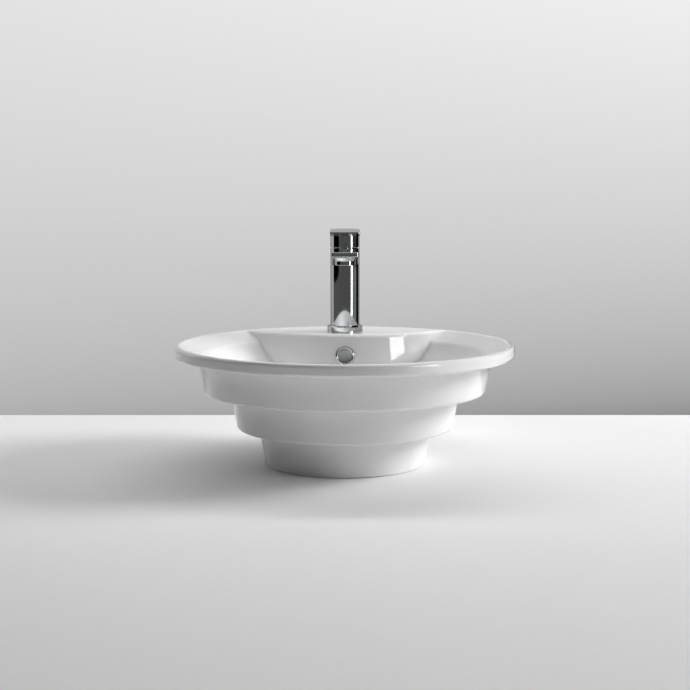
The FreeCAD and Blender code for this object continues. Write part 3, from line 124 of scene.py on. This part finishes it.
@dataclass(frozen=True)
class Finish:
    """A real material with the way its surface was made.

    The colour wanders between two tones in soft clouds, the roughness wanders with it, and the grain is a relief.
    """

    name: str
    tone: str
    second_tone: str
    cloud_mm: float
    smooth: float
    rough: float
    grain: Grain
    grain_mm: float
    relief_mm: float
    metallic: float = 0.0
    ior: float = 1.5
    edge_tone: str = "FFFFFF"

    cloud_detail: ClassVar[float] = 3.0
    cloud_rough: ClassVar[float] = 0.55
    cloud_range: ClassVar[tuple[float, float]] = (0.3, 0.7)
    ring_wander: ClassVar[float] = 0.4
    hairline_turn: ClassVar[float] = math.radians(35)
    hairline_stretch: ClassVar[float] = 12.0
    wave_rough: ClassVar[float] = 0.4

    def material(self) -> bpy.types.Material:
        """Makes the node material, or finds it where it is made already."""
        found = bpy.data.materials.get(self.name)
        if found:
            return found
        made, tree = new_material(self.name)
        place = add_node(tree, "ShaderNodeTexCoord").outputs["Object"]
        shader = add_node(tree, "ShaderNodeBsdfPrincipled", {
            "Metallic": self.metallic, "IOR": self.ior, "Specular Tint": linear(self.edge_tone)})
        self.dress(tree, place, shader)
        add_node(tree, "ShaderNodeOutputMaterial", {"Surface": shader.outputs["BSDF"]})
        return made

    def dress(self, tree: bpy.types.NodeTree, place: bpy.types.NodeSocket, shader: bpy.types.Node) -> None:
        """Links colour, roughness and relief to the shader.

        Args:
            tree: Node tree of the material.
            place: Coordinates of the surface.
            shader: The shader that is dressed.
        """
        cloud = add_node(tree, "ShaderNodeTexNoise", {
            "Vector": place, "Scale": 1 / (self.cloud_mm * MM), "Detail": self.cloud_detail,
            "Roughness": self.cloud_rough})
        colour = add_node(tree, "ShaderNodeMix", {
            MIX_SHARE: cloud.outputs["Fac"], COLOUR_A: linear(self.tone), COLOUR_B: linear(self.second_tone)},
            data_type="RGBA")
        thin, thick = self.cloud_range
        polish = add_node(tree, "ShaderNodeMapRange", {
            "Value": cloud.outputs["Fac"], "From Min": thin, "From Max": thick,
            "To Min": self.smooth, "To Max": self.rough})
        tree.links.new(colour.outputs[COLOUR_OUT], shader.inputs["Base Color"])
        tree.links.new(polish.outputs["Result"], shader.inputs["Roughness"])
        tree.links.new(self.relief(tree, place), shader.inputs["Normal"])

    def relief(self, tree: bpy.types.NodeTree, place: bpy.types.NodeSocket) -> bpy.types.NodeSocket:
        """Makes the fine relief of the grain.

        Args:
            tree: Node tree of the material.
            place: Coordinates of the surface.

        Returns:
            The bent normal.
        """
        pitch = 1 / (self.grain_mm * MM)
        if self.grain is Grain.TURNED:
            # The wave's phase runs at 20 times its scale, so this gives a crest every second grain
            height = add_node(tree, "ShaderNodeTexWave", {
                "Vector": place, "Scale": pitch / 20 * math.pi, "Distortion": self.ring_wander, "Detail": 1.0},
                wave_type="BANDS", bands_direction="Z").outputs["Fac"]
        elif self.grain is Grain.LAPPED:
            stretched = add_node(tree, "ShaderNodeMapping", {
                "Vector": place, "Rotation": (0.0, 0.0, self.hairline_turn),
                "Scale": (pitch, pitch / self.hairline_stretch, pitch)})
            height = add_node(tree, "ShaderNodeTexNoise", {
                "Vector": stretched.outputs["Vector"], "Scale": 1.0, "Detail": 2.0}).outputs["Fac"]
        elif self.grain is Grain.MOULDED:
            height = add_node(tree, "ShaderNodeTexVoronoi", {
                "Vector": place, "Scale": pitch, "Randomness": 1.0}, feature="SMOOTH_F1").outputs["Distance"]
        else:
            height = add_node(tree, "ShaderNodeTexNoise", {
                "Vector": place, "Scale": pitch, "Detail": 1.0, "Roughness": self.wave_rough}).outputs["Fac"]
        bump = add_node(tree, "ShaderNodeBump", {
            "Strength": 1.0, "Distance": self.relief_mm * MM, "Height": height})
        return bump.outputs["Normal"]


@dataclass(frozen=True)
class GlazedChina(Finish):
    """Vitreous china: glazed wherever it shows, bare fired clay where it stands and inside its hollow foot."""

    bare_tone: str = "E2DED6"
    bare_rough: float = 0.78
    stand_mm: float = 0.4
    foot_bore_mm: float = 100.2
    foot_lean: float = 0.18
    floor_under_mm: float = 46.4
    edge_mm: float = 0.5

    def dress(self, tree: bpy.types.NodeTree, place: bpy.types.NodeSocket, shader: bpy.types.Node) -> None:
        """Links the glaze, and mixes the bare clay in where there is none.

        Args:
            tree: Node tree of the material.
            place: Coordinates of the surface.
            shader: The shader that is dressed.
        """
        super().dress(tree, place, shader)
        bare = self.bare(tree, place)
        glaze_colour, glaze_polish = (
            shader.inputs[name].links[0].from_socket for name in ("Base Color", "Roughness"))
        colour = add_node(tree, "ShaderNodeMix", {
            MIX_SHARE: bare, COLOUR_A: glaze_colour, COLOUR_B: linear(self.bare_tone)}, data_type="RGBA")
        polish = add_node(tree, "ShaderNodeMix", {
            MIX_SHARE: bare, VALUE_A: glaze_polish, VALUE_B: self.bare_rough})
        tree.links.new(colour.outputs[COLOUR_OUT], shader.inputs["Base Color"])
        tree.links.new(polish.outputs[VALUE_OUT], shader.inputs["Roughness"])

    def bare(self, tree: bpy.types.NodeTree, place: bpy.types.NodeSocket) -> bpy.types.NodeSocket:
        """Finds the bare clay: the ring that stands on the counter and the inside of the foot.

        Args:
            tree: Node tree of the material.
            place: Coordinates of the surface.

        Returns:
            One on bare clay, nought on glaze.
        """
        axes = add_node(tree, "ShaderNodeSeparateXYZ", {"Vector": place})
        level = axes.outputs["Z"]
        flat = add_node(tree, "ShaderNodeCombineXYZ", {"X": axes.outputs["X"], "Y": axes.outputs["Y"]})
        radius = add_node(tree, "ShaderNodeVectorMath", {0: flat.outputs["Vector"]}, operation="LENGTH")
        lean = add_node(tree, "ShaderNodeMath", {0: level, 1: -self.foot_lean, 2: radius.outputs["Value"]},
                        operation="MULTIPLY_ADD")
        inside = add_node(tree, "ShaderNodeMapRange", {
            "Value": lean.outputs["Value"], "From Min": self.foot_bore_mm * MM,
            "From Max": (self.foot_bore_mm + self.edge_mm) * MM, "To Min": 1.0, "To Max": 0.0})
        below = add_node(tree, "ShaderNodeMapRange", {
            "Value": level, "From Min": self.floor_under_mm * MM,
            "From Max": (self.floor_under_mm + self.edge_mm) * MM, "To Min": 1.0, "To Max": 0.0})
        hollow = add_node(tree, "ShaderNodeMath", {0: inside.outputs["Result"], 1: below.outputs["Result"]},
                          operation="MULTIPLY")
        stand = add_node(tree, "ShaderNodeMapRange", {
            "Value": level, "From Min": self.stand_mm * MM, "From Max": (self.stand_mm + self.edge_mm) * MM,
            "To Min": 1.0, "To Max": 0.0})
        both = add_node(tree, "ShaderNodeMath", {0: hollow.outputs["Value"], 1: stand.outputs["Result"]},
                        operation="MAXIMUM")
        return both.outputs["Value"]


# Each row: name, two tones, clouds in mm, least and most roughness, grain, its size and relief in mm, metallic

# Vitreous china under a clear white glaze: a hard wet gloss whose reflections swim a little
CHINA = GlazedChina("vitreous_china_glazed", "F3F3F3", "EFEFEF", 90, 0.02, 0.045, Grain.FLOWED, 34, 0.03)
# Bright chromium plate on brass: a dark cool mirror, with the slight swell of hand polishing
CHROME = Finish("chromium_plate_polished", "CECFD0", "C9CACB", 20, 0.035, 0.06, Grain.FLOWED, 11, 0.0015, 1.0,
                edge_tone="B4B4B4")
# Free-cutting brass as turned: yellow metal, satin rings from the tool, drawn coarser than real so that they show
BRASS = Finish("brass_turned", "D2AE66", "B98F4A", 7, 0.2, 0.34, Grain.TURNED, 0.6, 0.02, 1.0)
# Zinc plated mild steel: grey with cloudy bluish patches and a soft gloss
ZINC = Finish("steel_zinc_plated", "AEB3B8", "989CA0", 5, 0.28, 0.42, Grain.LAPPED, 0.5, 0.01, 1.0)
# Moulded nitrile rubber: near black, dull, with the tool's fine pits
RUBBER = Finish("nitrile_rubber_moulded", "1B1B1B", "262626", 9, 0.6, 0.78, Grain.MOULDED, 0.6, 0.03)
# Moulded white acetal: milky, half matt
ACETAL = Finish("acetal_white_moulded", "E9E8E2", "DEDCD4", 12, 0.38, 0.5, Grain.MOULDED, 0.8, 0.015)
# Moulded grey acetal: the same in slate grey
GREY_ACETAL = Finish("acetal_grey_moulded", "5A5E62", "4C5054", 12, 0.38, 0.5, Grain.MOULDED, 0.8, 0.015)
# Lapped alumina ceramic: ivory, very flat, satin hairlines
ALUMINA = Finish("alumina_lapped", "F1EDE2", "E8E3D6", 6, 0.22, 0.3, Grain.LAPPED, 0.3, 0.003)
# Moulded ABS with a dark chromium plate: a small plug, a shade darker than the lever round it
INDEX = Finish("abs_dark_chromium_plate", "AEAEB0", "A6A6A8", 3, 0.1, 0.16, Grain.FLOWED, 2, 0.004, 1.0)


def new_piece(name: str, mesh: bmesh.types.BMesh, finish: Finish, body: str) -> bpy.types.Object:
    """Turns a finished bmesh into a piece that rides on a body.

    Args:
        name: Name of the piece.
        mesh: Its shape, in place.
        finish: Its finish.
        body: CAD body that carries it.

    Returns:
        The new object.
    """
    data = bpy.data.meshes.new(name)
    mesh.to_mesh(data)
    mesh.free()
    data.materials.append(finish.material())
    made = bpy.data.objects.new(name, data)
    bpy.context.scene.collection.objects.link(made)
    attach(made, body)
    return made


@dataclass
class SubAssembly:
    """A group of pieces that belong together, with the finish of each CAD node in it."""

    title: str
    finishes: dict[str, Finish]

    def build(self) -> None:
        """Makes the group's own meshes, where it has any."""

    def dress(self) -> None:
        """Gives every CAD node of the group its finish."""
        for name, finish in self.finishes.items():
            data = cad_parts[name].data
            data.materials.clear()
            data.materials.append(finish.material())
            LOG.info("%s: %s in %s", self.title, name, finish.name)


@dataclass
class TapFixing(SubAssembly):
    """Stud, nut, plate and rubber under the ledge; the stud gets its real M8 thread."""

    pitch: float = 1.25 * MM
    thread_depth: float = 0.68 * MM
    crest_start: float = 0.42
    crest_end: float = 0.55
    root_start: float = 0.9
    end_taper: float = 1.0 * MM
    end_share: float = 0.86
    steps: int = 36
    turns_below: int = 2
    turns_above: int = 1
    merge_share: float = 1 / 50

    def build(self) -> None:
        """Makes the threaded stud in the place of the plain one."""
        low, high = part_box("fixing_stud")
        centre = (low + high) / 2
        radius = (high.x - low.x) / 2
        stud = self.thread(radius, high.z - low.z)
        bmesh.ops.translate(stud, vec=(centre.x, centre.y, low.z), verts=stud.verts)
        piece = new_piece("fixing_stud_threaded", stud, ZINC, "basin")
        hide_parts("fixing_stud")
        LOG.info("%s: fixing_stud_threaded in %s", self.title, ZINC.name)

    def thread(self, radius: float, length: float) -> bmesh.types.BMesh:
        """Winds a thread into a rod that stands on the origin.

        Args:
            radius: Outside radius of the thread.
            length: Length of the rod.

        Returns:
            The closed rod.
        """
        rod = bmesh.new()
        root = radius - self.thread_depth
        flank = ((root, 0.0), (radius, self.crest_start), (radius, self.crest_end),
                 (root, self.root_start), (root, 1.0))
        spots = [rod.verts.new((wide, 0.0, share * self.pitch)) for wide, share in flank]
        lines = [rod.edges.new(pair) for pair in zip(spots, spots[1:])]
        turns = math.ceil(length / self.pitch) + self.turns_below + self.turns_above
        bmesh.ops.spin(rod, geom=spots + lines, axis=(0, 0, 1), cent=(0, 0, 0), angle=math.tau * turns,
                       dvec=(0, 0, self.pitch / self.steps), steps=self.steps * turns)
        bmesh.ops.remove_doubles(rod, verts=rod.verts, dist=self.pitch * self.merge_share)
        bmesh.ops.translate(rod, vec=(0, 0, -self.turns_below * self.pitch), verts=rod.verts)
        for level, way in ((0.0, -1), (length, 1)):
            self.square_end(rod, level, way)
        bmesh.ops.recalc_face_normals(rod, faces=rod.faces)
        return rod

    def square_end(self, rod: bmesh.types.BMesh, level: float, way: int) -> None:
        """Cuts one end of the rod flat, tapers it and closes it.

        Args:
            rod: The rod.
            level: Height of the end.
            way: 1 for the upper end, -1 for the lower one.
        """
        bmesh.ops.bisect_plane(rod, geom=rod.verts[:] + rod.edges[:] + rod.faces[:],
                               plane_co=(0, 0, level - way * self.end_taper), plane_no=(0, 0, way))
        cut = bmesh.ops.bisect_plane(rod, geom=rod.verts[:] + rod.edges[:] + rod.faces[:],
                                     plane_co=(0, 0, level), plane_no=(0, 0, way), clear_outer=True)
        rim = [edge for edge in cut["geom_cut"] if isinstance(edge, bmesh.types.BMEdge)]
        ends = {spot for edge in rim for spot in edge.verts}
        bmesh.ops.scale(rod, vec=(self.end_share, self.end_share, 1), verts=list(ends))
        bmesh.ops.edgeloop_fill(rod, edges=rim)


@dataclass(frozen=True)
class Lamp:
    """A soft box: a rectangle of light that looks at a point."""

    name: str
    spot: tuple[float, float, float]
    aim: tuple[float, float, float]
    wide: float
    tall: float
    watts: float

    def hang(self) -> None:
        """Hangs the lamp in the studio, where no camera or mirror sees it."""
        light = bpy.data.lights.new(self.name, "AREA")
        light.shape = "RECTANGLE"
        light.size, light.size_y, light.energy = self.wide, self.tall, self.watts
        made = bpy.data.objects.new(self.name, light)
        bpy.context.scene.collection.objects.link(made)
        made.location = self.spot
        made.rotation_mode = "QUATERNION"
        made.rotation_quaternion = (Vector(self.aim) - Vector(self.spot)).to_track_quat("-Z", "Y")
        made.visible_camera = False
        made.visible_glossy = False


@dataclass(frozen=True)
class Card:
    """A glowing card beside the tap that only mirrors see, a painted reflection that lights nothing, between two
    spots on the floor, upright or leaning back.
    """

    name: str
    start: tuple[float, float]
    end: tuple[float, float]
    low: float
    high: float
    glow: float
    lean: float = 0.0

    def stand(self) -> None:
        """Stands the card up in the studio."""
        sheet = upright(self.start, self.end, self.low, self.high, self.lean)
        made = stage_piece(self.name, sheet, self.painted_reflection_glow())
        made.visible_camera = False
        made.visible_diffuse = False
        made.visible_shadow = False
        made.visible_transmission = False
        made.visible_volume_scatter = False

    def painted_reflection_glow(self) -> bpy.types.Material:
        """Makes the card's even glow, which mirrors show as a painted reflection."""
        made, tree = new_material(self.name + "_cloth")
        even = add_node(tree, "ShaderNodeEmission", {"Color": (1, 1, 1, 1), "Strength": self.glow})
        add_node(tree, "ShaderNodeOutputMaterial", {"Surface": even.outputs["Emission"]})
        return made


def upright(start: tuple[float, float], end: tuple[float, float], low: float, high: float,
            lean: float = 0.0) -> bmesh.types.BMesh:
    """Makes an upright or leaning sheet between two spots on the counter.

    Args:
        start: First spot.
        end: Second spot.
        low: Height of its lower edge.
        high: Height of its upper edge.
        lean: How far its upper edge stands back.

    Returns:
        The sheet.
    """
    sheet = bmesh.new()
    foot = [sheet.verts.new((*spot, low)) for spot in (start, end)]
    raised = bmesh.ops.extrude_edge_only(sheet, edges=[sheet.edges.new(foot)])
    tops = [spot for spot in raised["geom"] if isinstance(spot, bmesh.types.BMVert)]
    bmesh.ops.translate(sheet, vec=(0, lean, high - low), verts=tops)
    sheet.normal_update()
    return sheet


def seen_directly(tree: bpy.types.NodeTree) -> bpy.types.NodeSocket:
    """Tells what is looked at from what only lights other things.

    Args:
        tree: Node tree that asks.

    Returns:
        One for a camera, a mirror or glass, nought for light that falls on things.
    """
    path = add_node(tree, "ShaderNodeLightPath")
    either = add_node(tree, "ShaderNodeMath", {
        0: path.outputs["Is Camera Ray"], 1: path.outputs["Is Glossy Ray"]}, operation="MAXIMUM")
    any_of_three = add_node(tree, "ShaderNodeMath", {
        0: either.outputs["Value"], 1: path.outputs["Is Transmission Ray"]}, operation="MAXIMUM")
    return any_of_three.outputs["Value"]


def stage_piece(name: str, mesh: bmesh.types.BMesh, material: bpy.types.Material) -> bpy.types.Object:
    """Turns a bmesh into a piece of the studio, which isn't part of the object.

    Args:
        name: Name of the piece.
        mesh: Its shape, in place.
        material: Its material.

    Returns:
        The new object.
    """
    data = bpy.data.meshes.new(name)
    mesh.to_mesh(data)
    mesh.free()
    data.materials.append(material)
    made = bpy.data.objects.new(name, data)
    bpy.context.scene.collection.objects.link(made)
    return made


@dataclass
class Studio:
    """Pale counter, light grey wall with painted light and shade, soft boxes, glowing cards that paint reflections
    into the chrome and glaze, and the camera.
    """

    counter_tone: str = "F1F1F1"
    counter_rough: float = 0.6
    counter_gloss: float = 0.25
    counter_half: float = 8.0
    wall_back: float = 0.38
    wall_half: float = 6.0
    wall_tall: float = 3.0
    # Painted light and shade, which the wall glows with for cameras and mirrors: darker low down, most of all on
    # the right, and lighter high up on the right
    painted_light_low_left: str = "ACACAC"
    painted_light_low_right: str = "8E8E8E"
    painted_light_high_left: str = "E2E2E2"
    painted_light_high_right: str = "EFEFEF"
    # Plain grey paint, which is all that falling light meets on the wall
    wall_paint: str = "C8C8C8"
    wall_high: float = 0.67
    wall_side: float = 0.57
    wall_curve: float = 0.62
    room_glow: float = 0.6
    camera_spot: tuple[float, float, float] = (0.0, -1.795, 0.372)
    camera_pitch: float = 6.68
    camera_lens: float = 69.13
    camera_sensor: float = 36.0
    # Each row: name, place, point it looks at, width, height, watts
    lamps: tuple[Lamp, ...] = (
        Lamp("key_box", (3.4, 0.5, 1.85), (0.0, 0.0, 0.1), 1.4, 1.4, 134),
        Lamp("back_box", (-0.6, 0.33, 1.1), (-0.6, 0.3, 0.0), 2.4, 0.15, 9.5),
        Lamp("right_box", (2.4, -1.6, 1.4), (0.0, 0.0, 0.1), 1.4, 1.4, 10),
        Lamp("front_box", (0.0, -1.1, 1.6), (0.0, 0.0, 0.1), 1.2, 0.8, 0.8),
    )
    # The glowing cards are painted reflections: the strip cards paint the bright highlights and glints on the
    # chrome and glaze, and the dim cards paint its dark reflections
    # Each row: name, two spots on the counter, lower and upper edge, glow, lean
    cards: tuple[Card, ...] = (
        Card("front_low_card", (-2.4, -1.3), (2.6, -1.3), 0.0, 0.6, 0.1),
        Card("front_high_card", (-2.4, -1.3), (2.6, -1.3), 0.6, 1.9, 0.4, 1.66),
        Card("left_low_card", (-0.85, -0.615), (-0.85, 0.3), 0.0, 0.18, 0.11),
        Card("left_high_card", (-0.85, -0.615), (-0.85, 0.3), 0.18, 1.6, 0.001),
        Card("strip_low_card", (1.378, -1.026), (1.522, -0.834), 0.0, 0.3, 9.0),
        Card("strip_middle_card", (1.105, -1.251), (1.381, -0.989), 0.3, 0.65, 11.0),
        Card("strip_high_card", (1.357, -1.054), (1.543, -0.806), 0.65, 1.5, 30.0),
        Card("right_low_card", (0.63, -0.235), (0.62, 0.24), 0.0, 0.225, 0.22),
        Card("right_high_card", (0.63, -0.235), (0.62, 0.24), 0.225, 1.6, 0.05),
        Card("right_back_card", (0.62, 0.24), (0.27, 0.372), 0.0, 1.6, 0.002),
    )

    def counter(self) -> None:
        """Lays the pale counter."""
        sheet = bmesh.new()
        bmesh.ops.create_grid(sheet, x_segments=1, y_segments=1, size=self.counter_half)
        material, tree = new_material("counter_pale")
        shader = add_node(tree, "ShaderNodeBsdfPrincipled", {
            "Base Color": linear(self.counter_tone), "Roughness": self.counter_rough,
            "Specular IOR Level": self.counter_gloss})
        add_node(tree, "ShaderNodeOutputMaterial", {"Surface": shader.outputs["BSDF"]})
        stage_piece("counter", sheet, material)

    def wall(self) -> None:
        """Puts up the wall, which lets lamps and cameras behind it look through. Cameras and mirrors see it glow
        with painted light and shade; light that falls on it meets plain grey paint.
        """
        sheet = upright((-self.wall_half, self.wall_back), (self.wall_half, self.wall_back), 0.0, self.wall_tall)
        for face in sheet.faces:
            if face.normal.y > 0:
                face.normal_flip()
        # The material holds the wall's painted light and shade beside its plain grey paint
        material, tree = new_material("wall_paint")
        tone = self.painted_wall_light(tree)
        # The wall glows with the painted light and shade, though it is no lamp
        glow = add_node(tree, "ShaderNodeEmission", {"Color": tone})
        paint = add_node(tree, "ShaderNodeBsdfDiffuse", {"Color": linear(self.wall_paint)})
        front = add_node(tree, "ShaderNodeMixShader", {
            0: seen_directly(tree), 1: paint.outputs["BSDF"], 2: glow.outputs["Emission"]})
        behind = add_node(tree, "ShaderNodeBsdfTransparent")
        facing = add_node(tree, "ShaderNodeNewGeometry")
        both = add_node(tree, "ShaderNodeMixShader", {
            0: facing.outputs["Backfacing"], 1: front.outputs["Shader"], 2: behind.outputs["BSDF"]})
        add_node(tree, "ShaderNodeOutputMaterial", {"Surface": both.outputs["Shader"]})
        stage_piece("wall", sheet, material).visible_shadow = False

    def painted_wall_light(self, tree: bpy.types.NodeTree) -> bpy.types.NodeSocket:
        """Paints light and shade onto the wall's glow: darker towards the counter, most of all on the right.

        Args:
            tree: Node tree of the wall.

        Returns:
            The painted light and shade of each spot.
        """
        place = add_node(tree, "ShaderNodeTexCoord").outputs["Object"]
        axes = add_node(tree, "ShaderNodeSeparateXYZ", {"Vector": place})
        up = add_node(tree, "ShaderNodeMapRange", {"Value": axes.outputs["Z"], "From Max": self.wall_high})
        eased = add_node(tree, "ShaderNodeMath", {0: up.outputs["Result"], 1: self.wall_curve}, operation="POWER")
        across = add_node(tree, "ShaderNodeMapRange", {
            "Value": axes.outputs["X"], "From Min": -self.wall_side, "From Max": self.wall_side}).outputs["Result"]
        low = add_node(tree, "ShaderNodeMix", {
            MIX_SHARE: across, COLOUR_A: linear(self.painted_light_low_left), COLOUR_B: linear(self.painted_light_low_right)},
            data_type="RGBA")
        high = add_node(tree, "ShaderNodeMix", {
            MIX_SHARE: across, COLOUR_A: linear(self.painted_light_high_left), COLOUR_B: linear(self.painted_light_high_right)},
            data_type="RGBA")
        tone = add_node(tree, "ShaderNodeMix", {
            MIX_SHARE: eased.outputs["Value"], COLOUR_A: low.outputs[COLOUR_OUT],
            COLOUR_B: high.outputs[COLOUR_OUT]}, data_type="RGBA")
        return tone.outputs[COLOUR_OUT]

    def room(self) -> None:
        """Sets the pale room that cameras and mirrors see, and that lights nothing itself."""
        world = bpy.data.worlds.new("studio_room")
        bpy.context.scene.world = world
        world.use_nodes = True
        tree = world.node_tree
        tree.nodes.clear()
        glow = add_node(tree, "ShaderNodeMath", {0: seen_directly(tree), 1: self.room_glow}, operation="MULTIPLY")
        sky = add_node(tree, "ShaderNodeBackground", {"Color": (1, 1, 1, 1), "Strength": glow.outputs["Value"]})
        add_node(tree, "ShaderNodeOutputWorld", {"Surface": sky.outputs["Background"]})

    def camera(self) -> None:
        """Sets the camera at the picture's viewing angle."""
        made = bpy.data.objects.new("camera", bpy.data.cameras.new("camera"))
        bpy.context.scene.collection.objects.link(made)
        made.location = self.camera_spot
        made.rotation_euler = (math.radians(90 - self.camera_pitch), 0, 0)
        made.data.lens = self.camera_lens
        made.data.sensor_width = self.camera_sensor
        bpy.context.scene.camera = made

    def build(self) -> None:
        """Builds the whole studio."""
        bpy.context.scene.view_settings.view_transform = "Standard"
        self.counter()
        self.wall()
        self.room()
        for lamp in self.lamps:
            lamp.hang()
        for card in self.cards:
            card.stand()
        self.camera()
        LOG.info("studio: %d lamps and %d cards", len(self.lamps), len(self.cards))


def sub_assemblies() -> tuple[SubAssembly, ...]:
    """Lists the object's sub-assemblies in the order in which they are built."""
    return (
        SubAssembly("basin", {"basin_body": CHINA, "overflow_ring": CHROME}),
        SubAssembly("waste", {
            "waste_body": CHROME, "waste_flange_seal": RUBBER, "waste_under_seal": RUBBER,
            "waste_slip_ring": ACETAL, "waste_back_nut": BRASS, "click_cartridge": BRASS,
            "plug_spindle": ZINC, "waste_plug": CHROME, "plug_seal": RUBBER}),
        SubAssembly("tap", {
            "tap_body": CHROME, "tap_base_ring": CHROME, "tap_base_seal": RUBBER,
            "aerator_ring": CHROME, "aerator_insert": GREY_ACETAL, "aerator_washer": RUBBER}),
        TapFixing("tap fixing", {
            "fixing_stud": ZINC, "clamp_rubber": RUBBER, "clamp_plate": ZINC, "fixing_nut": ZINC}),
        SubAssembly("cartridge", {
            "cartridge_base": ACETAL, "cartridge_port_seals": RUBBER, "cartridge_housing": ACETAL,
            "fixed_disc": ALUMINA, "moving_disc": ALUMINA, "disc_carrier": GREY_ACETAL,
            "cartridge_rotor": GREY_ACETAL, "cartridge_nut": BRASS, "cover_ring": CHROME}),
        SubAssembly("lever", {
            "lever_handle": CHROME, "lever_stem": BRASS, "pivot_pin": ZINC, "lever_screw": ZINC,
            "index_plug": INDEX}),
    )


def main() -> None:
    """Builds the studio, then builds and dresses every sub-assembly."""
    logging.basicConfig(level=logging.INFO, format="%(message)s")
    Studio().build()
    for group in sub_assemblies():
        group.build()
        group.dress()


if __name__ == "__main__":
    main()
